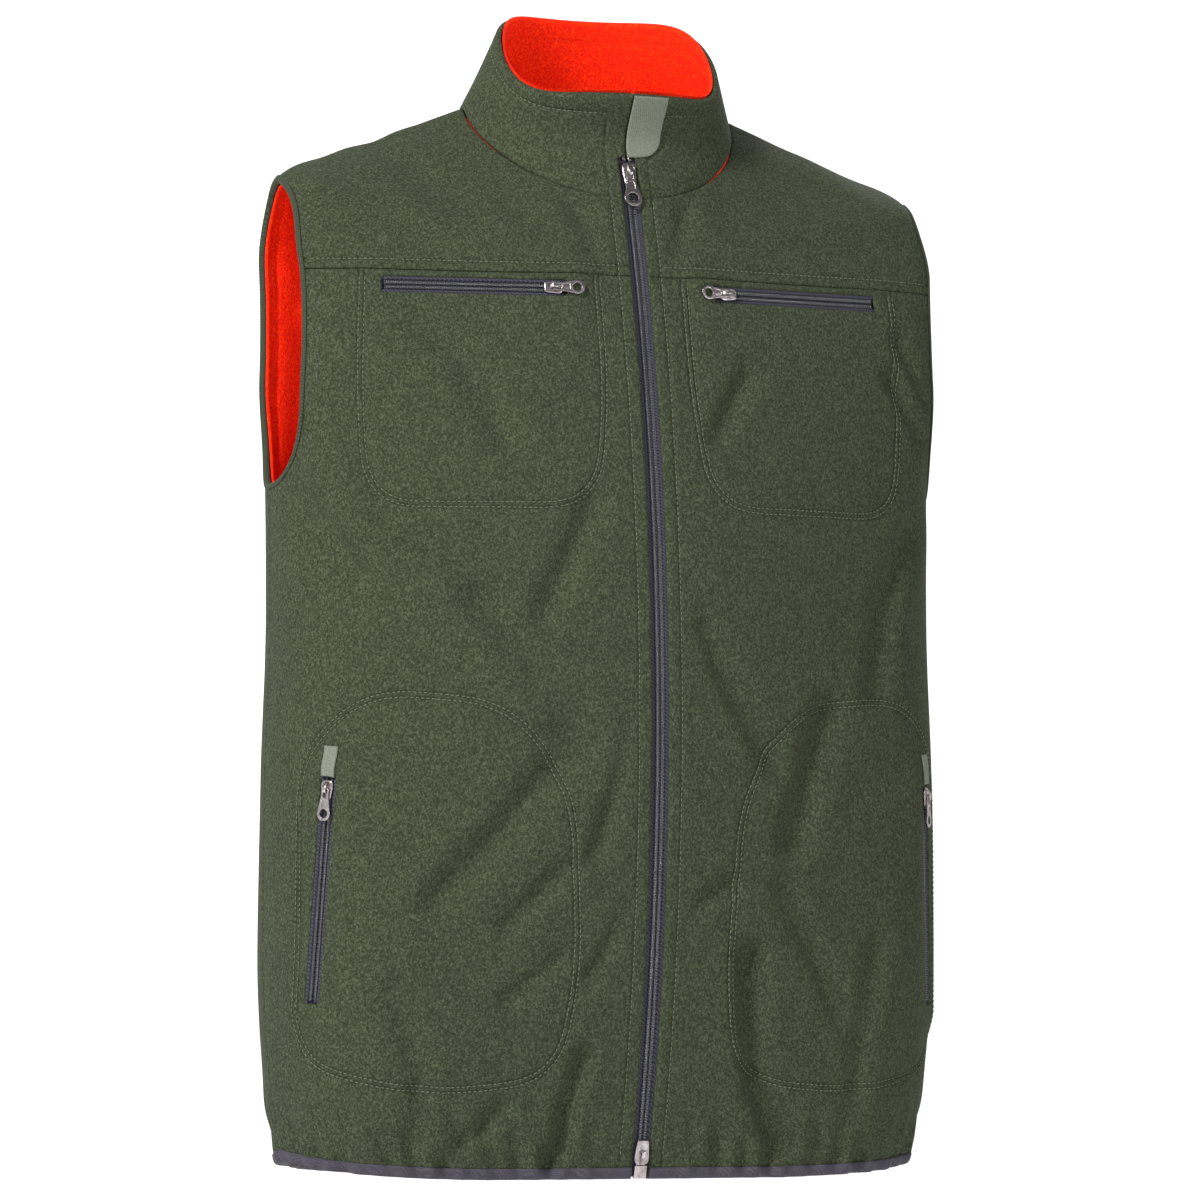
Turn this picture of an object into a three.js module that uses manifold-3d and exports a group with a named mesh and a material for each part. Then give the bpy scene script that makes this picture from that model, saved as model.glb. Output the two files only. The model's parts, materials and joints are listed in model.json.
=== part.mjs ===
// Reversible fleece vest, size L: olive shell, blaze orange lining, two-way front zip,
// two chest pockets and two hand pockets with coil zips. Millimetres, +Z up, -Y is the front,
// +X is the wearer's left. Heights are counted from the hem while the parts are drawn, and the
// whole garment is then lowered so that the origin lies at the height of the back neck seam.
import * as THREE from 'three';
import { mergeVertices } from 'three/addons/utils/BufferGeometryUtils.js';
import Module from 'manifold-3d';

const wasm = await Module();
wasm.setup();

// ---------------------------------------------------------------- driving sizes
const BACK_LENGTH = 702;          // hem to back neck seam
const HALF_CHEST = 229;           // half of the laid-out width at the waist and chest
const BACK_DEPTH = 126;           // side seam to the fullest part of the back
const ZIP_ARC_RADIUS = 1100;      // the front edge swells over the body on this radius
const FLEECE = 2.0;               // outer fleece thickness
const LINING = 1.8;               // lining fleece thickness
const LINING_DEPTH = 8.5;         // outer face of the lining below the outer face of the vest
const LINING_DEPTH_NECK = 4.6;    // the same at the neck and in the collar
const SEAM_GAP = 0.4;             // left between panels that are sewn together
const FIT_GAP = 0.3;              // between pieces that touch
const SIDE_SEAM_Y = 3;            // plane of the side seams
const YOKE_DROP_FRONT = 121;      // yoke seam below the back neck seam, at the front
const YOKE_DROP_BACK = 92;        // and at the back
const COLLAR_FRONT = 66;          // collar height at the front
const COLLAR_BACK = 61;           // and at the back
const RIM_HALF_WIDTH = 75;
const RIM_FRONT_Y = -66;
const RIM_BACK_Y = 36;
const ARMHOLE_LOW = 0.59;         // bottom and top of the armhole, as stations up the body
const ARMHOLE_HIGH = 0.86;
const ARMHOLE_HALF = 0.047;       // half its breadth, as a share of the girth
const HEM_BAND = 7;               // height of the hem binding
const HEM_BAND_WALL = 1.8;
const BINDING_WALL = 2.0;         // armhole binding
const BINDING_GAP = 0.8;          // from the cut edges of the fleece

// main zip
const TAPE_HALF = 13;             // tape, out from the centre line
const ZIP_WINDOW_HALF = 6.2;      // fleece edges stand this far from the centre line
const LINING_WINDOW_HALF = 7.5;
const COIL_GAP_HALF = 0.75;       // half the gap between the two coil rows
const COIL_HALF = 3.0;            // outer edge of a coil row
const TAPE_DEPTH = 3.6;           // outer face of the tape below the fleece surface
const TAPE_WALL = 0.6;
const COIL_DEPTH = 0.8;           // outer face of the coil below the fleece surface
const TAPE_ABOVE_NECK_SEAM = 31;
const TAPE_ABOVE_COIL = 5.5;
const STOP_LENGTH = 3.6;
const BOX_HEIGHT = 8.5;           // retainer box
const BOX_HALF_WIDTH = 4.2;
const BOX_WALL = 5.8;             // front to back
const BOX_PROUD = 0.4;            // above the fleece
const PIN_TOP = 22;               // insertion pin, heights above the hem
const PIN_FOOT = 5;
const RETAINER_TOP = 20;
const TOP_SLIDER_DROP = 9.5;      // below the coil's top
const BOTTOM_SLIDER_HEIGHT = 17;

// sliders: plates above and below the coil, joined by a thin web between the rows
const PLATE_GAP = 0.3;
const PLATE_WALL = 1.2;
const WEB_HALF = 0.3;
const MAIN_SLIDER = { length: 16, halfWidth: 4.8, pull: 24, ring: 6 };
const POCKET_SLIDER = { length: 12, halfWidth: 4.3, pull: 20, ring: 4.8 };
const BAR = 1.2;                  // the pull's top bar, square
const BRIDGE_HALF_WIDTH = 1.0;
const BRIDGE_WALL = 1.0;

// pocket zips
const CHEST_ZIP = { height: 571, innerX: 53.6, outerX: 170 };
const HAND_ZIP = { topT: 0.1918, topHeight: 253.6, footT: 0.2015, footHeight: 112 };
const POCKET_WINDOW_HALF = 5.2;
const POCKET_TAPE_HALF = 9;
const POCKET_TAPE_END = 6;
const COIL_END = 2.5;
const GARAGE = { length: 19.5, halfWidth: 4.8, start: 2 };
const CLOTH_WALL = 1.0;           // garages, chin guard
const CLOTH_LIFT = 0.5;           // their height above the fleece

// pocket bags, between the outer fleece and the lining
const BAG_WALL = 0.8;
const BAG_DEPTH = LINING_DEPTH - FIT_GAP - BAG_WALL;
const CHEST_BAG = { innerX: 32, outerX: 184, foot: 430, top: 577 };
const HAND_BAG = { innerX: 62, outerT: 0.235, foot: 56, top: 305 };
const GUARD = { overCoil: 1.56, reachT: 0.055, cornerLift: 0.07 };

const GIRTH_STEPS = 44;
const RISE_STEPS = 12;
const COLLAR_STEPS = 8;
const ARMHOLE_STEPS = 32;

// ---------------------------------------------------------------- the body's surface
// The pattern block as drafted: rows from hem to neck of
// [station, front, side and back height, half width, side y, back depth, front and back corner radius]
const DRAFT = { length: 702, halfChest: 229, depth: 126 };
const BLOCK = [
  [0.00, 0, 12, 0, 212, 8, 100, 72, 70],
  [0.07, 50, 56, 50, 223, 6, 116, 84, 80],
  [0.20, 150, 150, 150, 229, 2, 126, 90, 86],
  [0.34, 255, 255, 255, 228, 0, 122, 88, 84],
  [0.48, 360, 360, 360, 225, 0, 114, 82, 80],
  [0.59, 445, 445, 445, 226, 0, 116, 72, 76],
  [0.69, 520, 520, 520, 237, 2, 112, 66, 68],
  [0.78, 583, 592, 588, 238, 4, 100, 56, 60],
  [0.86, 602, 645, 636, 220, 6, 90, 40, 46],
  [0.93, 618, 673, 676, 154, 8, 76, 30, 40],
  [1.00, 634, 697, 702, 93, 8, 56, 45, 46],
];
const gradeZ = BACK_LENGTH / DRAFT.length;
const gradeX = HALF_CHEST / DRAFT.halfChest;
const gradeY = BACK_DEPTH / DRAFT.depth;
const GRADES = [1, gradeZ, gradeZ, gradeZ, gradeX, gradeY, gradeY, gradeY, gradeY];
const TABLE = BLOCK.map((row) => row.map((value, k) => value * GRADES[k]));

// monotone cubic curve through one column of the block
function column(k) {
  const x = TABLE.map((row) => row[0]);
  const y = TABLE.map((row) => row[k]);
  const h = x.slice(1).map((value, i) => value - x[i]);
  const d = h.map((step, i) => (y[i + 1] - y[i]) / step);
  const last = x.length - 1;
  const m = x.map((_, i) => {
    if (i === 0) return d[0];
    if (i === last) return d[last - 1];
    if (d[i - 1] * d[i] <= 0) return 0;
    const w1 = 2 * h[i] + h[i - 1];
    const w2 = h[i] + 2 * h[i - 1];
    return (w1 + w2) / (w1 / d[i - 1] + w2 / d[i]);
  });
  return (v) => {
    const at = Math.min(Math.max(v, 0), 1);
    let i = 0;
    while (i < last - 1 && at >= x[i + 1]) i += 1;
    const s = (at - x[i]) / h[i];
    const r = 1 - s;
    return y[i] * (1 + 2 * s) * r * r + m[i] * h[i] * s * r * r
      + y[i + 1] * s * s * (3 - 2 * s) - m[i + 1] * h[i] * s * s * r;
  };
}
const curves = TABLE[0].map((_, k) => column(k));

// the front edge's arc, in the plane x = 0
const ARC_TOP = { y: -54 * gradeY, z: 655 * gradeZ };
const ARC_FOOT = { y: -74 * gradeY, z: 0 };
const arc = (() => {
  const dy = ARC_TOP.y - ARC_FOOT.y;
  const dz = ARC_TOP.z - ARC_FOOT.z;
  const chord = Math.hypot(dy, dz);
  const reach = Math.sqrt(ZIP_ARC_RADIUS ** 2 - (chord / 2) ** 2);
  return {
    y: (ARC_TOP.y + ARC_FOOT.y) / 2 + reach * dz / chord,
    z: (ARC_TOP.z + ARC_FOOT.z) / 2 - reach * dy / chord,
  };
})();
const frontY = (z) => arc.y - Math.sqrt(ZIP_ARC_RADIUS ** 2 - (z - arc.z) ** 2);

// a quarter of the body's section: a wide arc running into a corner arc, s 0 at the middle, 1 at the side
function quarter(s, halfWidth, depth, corner) {
  const r = Math.min(corner, 0.98 * Math.min(halfWidth, depth));
  const wide = (depth ** 2 + (halfWidth - r) ** 2 - r * r) / (2 * (depth - r));
  const turn = Math.atan2(halfWidth - r, wide - depth);
  const first = wide * turn;
  const along = s * (first + r * (Math.PI / 2 - turn));
  if (along <= first) {
    const angle = along / wide;
    return [wide * Math.sin(angle), wide * Math.cos(angle) - (wide - depth)];
  }
  const angle = turn + (along - first) / r;
  return [halfWidth - r + r * Math.sin(angle), r * Math.cos(angle)];
}

// t runs round the body: 0 front, 0.25 wearer's left, 0.5 back; v runs from hem to neck
function body(t, v) {
  const turn = t - Math.floor(t);
  const half = turn <= 0.5 ? turn : 1 - turn;
  const side = turn <= 0.5 ? 1 : -1;
  const inFront = half <= 0.25;
  const s = inFront ? half / 0.25 : (0.5 - half) / 0.25;
  const [, front, flank, back, halfWidth, sideY, backDepth, cornerF, cornerB] = curves.map((f) => f(v));
  const depth = inFront ? sideY - frontY(front) : backDepth;
  const [x, y] = quarter(s, halfWidth, depth, inFront ? cornerF : cornerB);
  const level = inFront ? front : back;
  const hemShare = Math.max(0, (s - 0.35) / 0.65) ** 2;
  const mix = Math.min(1, v / 0.2);
  const rise = hemShare * (1 - mix) + s ** 2.1 * mix;
  return new THREE.Vector3(side * x, sideY + (inFront ? -y : y), level + (flank - level) * rise);
}

// the collar stands on the neck seam and ends in an oval rim that climbs to the back
const NECK_FRONT = TABLE[TABLE.length - 1][1];
function rim(t) {
  const angle = 2 * Math.PI * t;
  const q = (1 - Math.cos(angle)) / 2;
  const climb = q * q * q * (q * (6 * q - 15) + 10);
  const low = NECK_FRONT + COLLAR_FRONT;
  const high = BACK_LENGTH + COLLAR_BACK;
  const middle = (RIM_FRONT_Y + RIM_BACK_Y) / 2;
  const half = (RIM_BACK_Y - RIM_FRONT_Y) / 2;
  return new THREE.Vector3(
    RIM_HALF_WIDTH * gradeX * Math.sin(angle),
    (middle - half * Math.cos(angle)) * gradeY,
    low + (high - low) * climb,
  );
}

// the front edge runs on the zip's arc past the neck seam, then bends forward to the rim
const ARC_END = NECK_FRONT + TAPE_ABOVE_NECK_SEAM;
const coilTop = ARC_END - TAPE_ABOVE_COIL;
const RIM_LEAN = -0.6;
function edgeY(z) {
  if (z <= ARC_END) return frontY(z);
  const span = NECK_FRONT + COLLAR_FRONT - ARC_END;
  const s = (z - ARC_END) / span;
  const r = 1 - s;
  const slope = (ARC_END - arc.z) / (arc.y - frontY(ARC_END));
  return frontY(ARC_END) * (1 + 2 * s) * r * r + slope * span * s * r * r
    + RIM_FRONT_Y * gradeY * s * s * (3 - 2 * s) - RIM_LEAN * span * s * s * r;
}
// the collar's straight slant from seam to rim is bowed near the front so that it meets that edge
function collar(t, w) {
  const slant = (turn) => body(turn, 1).lerp(rim(turn), w);
  const bow = edgeY(NECK_FRONT + COLLAR_FRONT * w) - slant(0).y;
  const away = Math.min(4 * Math.abs(t - Math.round(t)), 1);
  const point = slant(t);
  point.y += bow * (1 - away * away) ** 2;
  return point;
}

const STEP = 1e-4;
function normalOf(surface, t, v) {
  const at = Math.min(Math.max(v, STEP), 1 - STEP);
  const along = surface(t + STEP, at).sub(surface(t - STEP, at));
  const up = surface(t, at + STEP).sub(surface(t, at - STEP));
  return along.cross(up).normalize();
}
const under = (surface, t, v, depth) => surface(t, v).addScaledVector(normalOf(surface, t, v), -depth);

// station at which the body at turn t reaches a height, and turn at which it reaches an x there
function stationAt(t, height) {
  let low = 0;
  let high = 1;
  for (let i = 0; i < 40; i += 1) {
    const middle = (low + high) / 2;
    if (body(t, middle).z < height) low = middle;
    else high = middle;
  }
  return (low + high) / 2;
}
function turnAt(x, height) {
  let low = 0;
  let high = 0.25;
  for (let i = 0; i < 40; i += 1) {
    const middle = (low + high) / 2;
    if (body(middle, stationAt(middle, height)).x < x) low = middle;
    else high = middle;
  }
  return (low + high) / 2;
}

// ---------------------------------------------------------------- solids
function solid(points, faces) {
  const geometry = new THREE.BufferGeometry();
  let volume = 0;
  for (const [a, b, c] of faces) volume += points[a].dot(points[b].clone().cross(points[c]));
  const index = volume > 0 ? faces : faces.map(([a, b, c]) => [a, c, b]);
  geometry.setAttribute('position', new THREE.Float32BufferAttribute(points.flatMap((p) => [p.x, p.y, p.z]), 3));
  geometry.setIndex(index.flat());
  geometry.computeVertexNormals();
  return geometry;
}

// a sheet with thickness: two equal grids of points and the walls between their edges
function slab(outer, inner, wrap = false) {
  const rows = outer.length;
  const columns = outer[0].length;
  const points = [...outer.flat(), ...inner.flat()];
  const top = (i, j) => (i % rows) * columns + j;
  const low = (i, j) => top(i, j) + rows * columns;
  const faces = [];
  const quad = (a, b, c, d) => faces.push([a, b, c], [a, c, d]);
  const last = wrap ? rows : rows - 1;
  for (let i = 0; i < last; i += 1) {
    for (let j = 0; j < columns - 1; j += 1) {
      quad(top(i, j), top(i + 1, j), top(i + 1, j + 1), top(i, j + 1));
      quad(low(i, j), low(i, j + 1), low(i + 1, j + 1), low(i + 1, j));
    }
    quad(top(i, 0), low(i, 0), low(i + 1, 0), top(i + 1, 0));
    const end = columns - 1;
    quad(top(i, end), top(i + 1, end), low(i + 1, end), low(i, end));
  }
  if (!wrap) {
    for (let j = 0; j < columns - 1; j += 1) {
      const end = rows - 1;
      quad(top(0, j), top(0, j + 1), low(0, j + 1), low(0, j));
      quad(top(end, j), low(end, j), low(end, j + 1), top(end, j + 1));
    }
  }
  return solid(points, faces);
}

// a closed ring swept with one closed section per step
function ringOf(sections) {
  const count = sections[0].length;
  const faces = [];
  sections.forEach((_, i) => {
    const here = i * count;
    const next = ((i + 1) % sections.length) * count;
    for (let j = 0; j < count; j += 1) {
      const k = (j + 1) % count;
      faces.push([here + j, next + j, next + k], [here + j, next + k, here + k]);
    }
  });
  return solid(sections.flat(), faces);
}

// a plug through a row of rings, closed by a fan at each end
function plug(rings) {
  const count = rings[0].length;
  const centre = (ring) => ring.reduce((sum, p) => sum.add(p), new THREE.Vector3()).divideScalar(count);
  const first = centre(rings[0]);
  const last = centre(rings[rings.length - 1]);
  const points = [...rings.flat(), first, last];
  const end = (rings.length - 1) * count;
  const faces = [];
  for (let j = 0; j < count; j += 1) {
    const k = (j + 1) % count;
    for (let low = 0; low < end; low += count) {
      faces.push([low + j, low + k, low + count + k], [low + j, low + count + k, low + count + j]);
    }
    faces.push([end + count, k, j], [end + count + 1, end + j, end + k]);
  }
  return solid(points, faces);
}

function toManifold(geometry) {
  const bare = geometry.clone();
  bare.deleteAttribute('normal');
  bare.deleteAttribute('uv');
  const merged = mergeVertices(bare, 1e-5);
  const mesh = new wasm.Mesh({
    numProp: 3,
    vertProperties: new Float32Array(merged.attributes.position.array),
    triVerts: new Uint32Array(merged.index.array),
  });
  return new wasm.Manifold(mesh);
}
function fromManifold(part) {
  const mesh = part.getMesh();
  const geometry = new THREE.BufferGeometry();
  geometry.setAttribute('position', new THREE.Float32BufferAttribute(mesh.vertProperties, 3));
  geometry.setIndex([...mesh.triVerts]);
  geometry.computeVertexNormals();
  return geometry;
}
const union = (...shapes) => fromManifold(shapes.map(toManifold).reduce((sum, next) => sum.add(next)));
function cut(shape, ...tools) {
  return fromManifold(tools.map(toManifold).reduce((rest, tool) => rest.subtract(tool), toManifold(shape)));
}
const keep = (shape, region) => fromManifold(toManifold(shape).intersect(toManifold(region)));

function block(x0, x1, y0, y1, z0, z1) {
  const geometry = new THREE.BoxGeometry(x1 - x0, y1 - y0, z1 - z0);
  return geometry.translate((x0 + x1) / 2, (y0 + y1) / 2, (z0 + z1) / 2);
}
const FAR = 400 * Math.max(gradeX, gradeY);
const SKY = 1200 * gradeZ;

// an outline in the plane of a zip, given depth along its outward direction
function plate(outline, low, high, holes = []) {
  const shape = new THREE.Shape(outline.map(([x, y]) => new THREE.Vector2(x, y)));
  shape.holes = holes.map((hole) => new THREE.Path(hole.map(([x, y]) => new THREE.Vector2(x, y))));
  const geometry = new THREE.ExtrudeGeometry(shape, { depth: high - low, bevelEnabled: false });
  return geometry.translate(0, 0, low);
}
const rectangle = (x0, x1, y0, y1) => [[x0, y0], [x1, y0], [x1, y1], [x0, y1]];

const vest = new THREE.Group();
vest.position.z = -BACK_LENGTH;
const finish = {
  olive: { color: 0x48543a, roughness: 0.95, metalness: 0 },
  orange: { color: 0xff2d00, roughness: 0.9, metalness: 0 },
  tape: { color: 0x46444f, roughness: 0.8, metalness: 0 },
  coil: { color: 0x17161c, roughness: 0.45, metalness: 0 },
  binding: { color: 0x3e3c46, roughness: 0.85, metalness: 0 },
  oliveBinding: { color: 0x39402f, roughness: 0.9, metalness: 0 },
  nickel: { color: 0x9c8f90, roughness: 0.35, metalness: 1 },
  sage: { color: 0x7d8a70, roughness: 0.85, metalness: 0 },
  pocketing: { color: 0x3a4232, roughness: 0.9, metalness: 0 },
  elastic: { color: 0x22222a, roughness: 0.8, metalness: 0 },
};
function add(name, geometry, look, frame) {
  const mesh = new THREE.Mesh(geometry, new THREE.MeshStandardMaterial(finish[look]));
  mesh.name = name;
  if (frame) {
    mesh.position.setFromMatrixPosition(frame);
    mesh.quaternion.setFromRotationMatrix(frame);
  }
  vest.add(mesh);
}

// ---------------------------------------------------------------- fleece layers
const stations = (low, high, count) => {
  return Array.from({ length: count + 1 }, (_, i) => low + (high - low) * i / count);
};
const turns = stations(0, 1, GIRTH_STEPS).slice(0, GIRTH_STEPS);
const heightToStation = TABLE[1][0] / TABLE[1][1];
const EDGE_LOW = (HEM_BAND_WALL + SEAM_GAP) * heightToStation;
const NECK_SEAM_SHARE = SEAM_GAP / (2 * COLLAR_FRONT);

function layer(surface, low, high, steps, topDepth, wall) {
  const grid = (extra) => turns.map((t) => stations(low, high, steps).map((v) => {
    return under(surface, t, v, topDepth(v) + extra);
  }));
  return slab(grid(0), grid(wall), true);
}
const NECK_EASE_START = 0.86;
function liningDepth(v) {
  const s = Math.min(Math.max((v - NECK_EASE_START) / (1 - NECK_EASE_START), 0), 1);
  return LINING_DEPTH + (LINING_DEPTH_NECK - LINING_DEPTH) * s * s * (3 - 2 * s);
}
const outerBody = layer(body, EDGE_LOW, 1 - NECK_SEAM_SHARE / 4, RISE_STEPS, () => 0, FLEECE);
const liningBody = layer(body, EDGE_LOW, 1 - NECK_SEAM_SHARE / 4, RISE_STEPS, liningDepth, LINING);
const outerCollar = layer(collar, NECK_SEAM_SHARE, 1, COLLAR_STEPS, () => 0, FLEECE);
const liningCollar = layer(collar, 5 * NECK_SEAM_SHARE, 1, COLLAR_STEPS, () => LINING_DEPTH_NECK, LINING);

// the armhole's edge: points on the body's surface with their outward directions
function armholeEdge(side) {
  return Array.from({ length: ARMHOLE_STEPS }, (_, i) => {
    const angle = 2 * Math.PI * i / ARMHOLE_STEPS;
    const round = (value) => Math.sign(value) * Math.abs(value) ** 0.87;
    const t = 0.25 + ARMHOLE_HALF * round(Math.cos(angle));
    const v = (ARMHOLE_LOW + ARMHOLE_HIGH) / 2 + (ARMHOLE_HIGH - ARMHOLE_LOW) / 2 * round(Math.sin(angle));
    return { point: body(side * t, v), out: normalOf(body, side * t, v) };
  });
}
const ARMHOLE_OUT = 60;
const ARMHOLE_IN = 20;
const BINDING_LIFT = 1;
const BINDING_DEPTH = LINING_DEPTH + LINING + 1;
function armholePlug(side) {
  const edge = armholeEdge(side);
  const ring = (reach) => edge.map(({ point, out }) => point.clone().addScaledVector(out, reach));
  return plug([ARMHOLE_OUT, BINDING_LIFT, -BINDING_DEPTH, -ARMHOLE_IN].map(ring));
}
const armholes = [armholePlug(1), armholePlug(-1)];
const yokeFront = BACK_LENGTH - YOKE_DROP_FRONT;
const yokeBack = BACK_LENGTH - YOKE_DROP_BACK;
const slot = (half, low = -50, high = SKY) => block(-half, half, -FAR, 0, low, high);

// ---------------------------------------------------------------- zip frames
// a zip's frame: x across the tape, y towards its closed end, z out of the vest
function zipFrame(origin, up, out) {
  const across = up.clone().cross(out).normalize();
  const level = across.clone().cross(up).normalize();
  return new THREE.Matrix4().makeBasis(across, up.clone().normalize(), level).setPosition(origin);
}
const frontPoint = (height) => new THREE.Vector3(0, edgeY(height), height);
function frontFrame(height) {
  const up = frontPoint(height + 0.5).sub(frontPoint(height - 0.5)).normalize();
  return zipFrame(frontPoint(height), up, new THREE.Vector3(0, -up.z, up.y));
}
// the sliders run on the arc itself, also above the neck seam
function arcFrame(height) {
  const point = new THREE.Vector3(0, frontY(height), height);
  const out = new THREE.Vector3(0, frontY(height) - arc.y, height - arc.z).normalize();
  return zipFrame(point, new THREE.Vector3(0, -out.z, out.y).negate(), out);
}
function strip(low, high, step, x0, x1, depth, wall) {
  const count = Math.max(1, Math.round((high - low) / step));
  const frames = stations(low, high, count).map(frontFrame);
  const grid = (down) => frames.map((frame) => [x0, x1].map((x) => {
    return new THREE.Vector3(x, 0, -down).applyMatrix4(frame);
  }));
  return slab(grid(depth), grid(depth + wall));
}

const chestPoint = (x) => {
  const t = turnAt(x * gradeX, CHEST_ZIP.height * gradeZ);
  return { t, v: stationAt(t, CHEST_ZIP.height * gradeZ) };
};
const handPoint = (t, height) => ({ t, v: stationAt(t, height * gradeZ) });

// a straight zip laid on the body between two places, at the mean height of the swell between them
function straightZip(closed, open, side) {
  const at = (place) => body(side * place.t, place.v);
  const middle = { t: (closed.t + open.t) / 2, v: (closed.v + open.v) / 2 };
  const origin = at(closed);
  const up = origin.clone().sub(at(open));
  const length = up.length();
  up.normalize();
  const out = normalOf(body, side * middle.t, middle.v);
  out.addScaledVector(up, -out.dot(up)).normalize();
  const swell = at(middle).sub(origin.clone().add(at(open)).divideScalar(2)).dot(out);
  origin.addScaledVector(out, swell / 2);
  return { frame: zipFrame(origin, up, out), length };
}

const sides = [{ word: 'right', sign: -1 }, { word: 'left', sign: 1 }];
const pocketZips = sides.flatMap(({ word, sign }) => [
  {
    name: `chest_${word}`,
    zip: straightZip(chestPoint(CHEST_ZIP.innerX), chestPoint(CHEST_ZIP.outerX), sign),
    pullSign: 1,
    garage: false,
    sign,
  },
  {
    name: `hand_${word}`,
    zip: straightZip(
      handPoint(HAND_ZIP.topT, HAND_ZIP.topHeight),
      handPoint(HAND_ZIP.footT, HAND_ZIP.footHeight),
      sign,
    ),
    pullSign: -1,
    garage: true,
    sign,
  },
]);
const WINDOW_DEEP = 15;
const windows = pocketZips.map(({ zip }) => {
  const outline = rectangle(-POCKET_WINDOW_HALF, POCKET_WINDOW_HALF, -zip.length, COIL_END);
  return plate(outline, -WINDOW_DEEP, WINDOW_DEEP).applyMatrix4(zip.frame);
});

// ---------------------------------------------------------------- outer panels
const gap = SEAM_GAP / 2;
// the fleece is pared away on the inside where a pocket zip's tape is stitched to it
const reliefs = pocketZips.map(({ zip }) => {
  const half = POCKET_TAPE_HALF + FIT_GAP;
  const end = POCKET_TAPE_END + FIT_GAP;
  const outline = rectangle(-half, half, -zip.length - end, end);
  return plate(outline, -TAPE_DEPTH - TAPE_WALL - FLEECE, -TAPE_DEPTH + FIT_GAP).applyMatrix4(zip.frame);
});
const openBody = cut(outerBody, slot(ZIP_WINDOW_HALF), ...armholes, ...windows, ...reliefs);
for (const { word, sign } of sides) {
  const [x0, x1] = sign > 0 ? [0, FAR] : [-FAR, 0];
  add(`front_${word}_shell`, keep(openBody, block(x0, x1, -FAR, SIDE_SEAM_Y - gap, -50, yokeFront - gap)), 'olive');
}
add('back_shell', keep(openBody, block(-FAR, FAR, SIDE_SEAM_Y + gap, FAR, -50, yokeBack - gap)), 'olive');
const yokeRegion = union(
  block(-FAR, FAR, -FAR, SIDE_SEAM_Y, yokeFront + gap, SKY),
  block(-FAR, FAR, SIDE_SEAM_Y - 1, FAR, yokeBack + gap, SKY),
);
add('yoke_shell', keep(openBody, yokeRegion), 'olive');

const GUARD_EDGE = coilTop + STOP_LENGTH + FIT_GAP;
const collarCuts = [
  slot(ZIP_WINDOW_HALF, 0, GUARD_EDGE),
  block(-2 * FIT_GAP, ZIP_WINDOW_HALF, -FAR, 0, GUARD_EDGE - 1, SKY),
];
add('collar_shell', cut(outerCollar, ...collarCuts), 'olive');

// ---------------------------------------------------------------- lining
const openLining = cut(liningBody, slot(LINING_WINDOW_HALF), ...armholes);
for (const { word, sign } of sides) {
  const [x0, x1] = sign > 0 ? [0, FAR] : [-FAR, 0];
  add(`front_${word}_lining`, keep(openLining, block(x0, x1, -FAR, SIDE_SEAM_Y - gap, -50, SKY)), 'orange');
}
add('back_lining', keep(openLining, block(-FAR, FAR, SIDE_SEAM_Y + gap, FAR, -50, SKY)), 'orange');
add('collar_lining', cut(liningCollar, slot(LINING_WINDOW_HALF)), 'orange');

// ---------------------------------------------------------------- bindings and hem elastic
const HEM_LIP = 1.0;
const HEM_OUTER = 0.4;
const HEM_INNER = LINING_DEPTH + LINING + 1.8;
const hemSection = [
  [-HEM_OUTER - HEM_LIP, 0], [HEM_INNER + HEM_LIP, 0], [HEM_INNER + HEM_LIP, HEM_BAND],
  [HEM_INNER, HEM_BAND], [HEM_INNER, HEM_BAND_WALL], [-HEM_OUTER, HEM_BAND_WALL],
  [-HEM_OUTER, HEM_BAND], [-HEM_OUTER - HEM_LIP, HEM_BAND],
];
const hemRing = ringOf(turns.map((t) => hemSection.map(([depth, height]) => {
  const point = under(body, t, height * heightToStation, depth);
  point.z = body(t, 0).z + height;
  return point;
})));
const HEM_GAP_HALF = 7;
add('hem_binding', cut(hemRing, slot(HEM_GAP_HALF)), 'binding');

const ELASTIC = { depth: 3.2, wall: 1.2, rise: 6 };
const elasticTop = EDGE_LOW + ELASTIC.rise * heightToStation;
const elasticRing = layer(body, EDGE_LOW, elasticTop, 1, () => ELASTIC.depth, ELASTIC.wall);
add('hem_elastic', cut(elasticRing, slot(TAPE_HALF + 2)), 'elastic');

const outerEdge = BINDING_GAP + BINDING_WALL;
for (const { word, sign } of sides) {
  const edge = armholeEdge(sign);
  const count = edge.length;
  const sections = edge.map(({ point, out }, i) => {
    const along = edge[(i + 1) % count].point.clone().sub(edge[(i + count - 1) % count].point);
    const inward = along.cross(out).normalize().multiplyScalar(-sign);
    const corners = rectangle(BINDING_GAP, outerEdge, -BINDING_DEPTH, BINDING_LIFT);
    return corners.map(([reach, lift]) => {
      return point.clone().addScaledVector(inward, reach).addScaledVector(out, lift);
    });
  });
  add(`armhole_binding_${word}`, ringOf(sections), 'oliveBinding');
}

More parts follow.
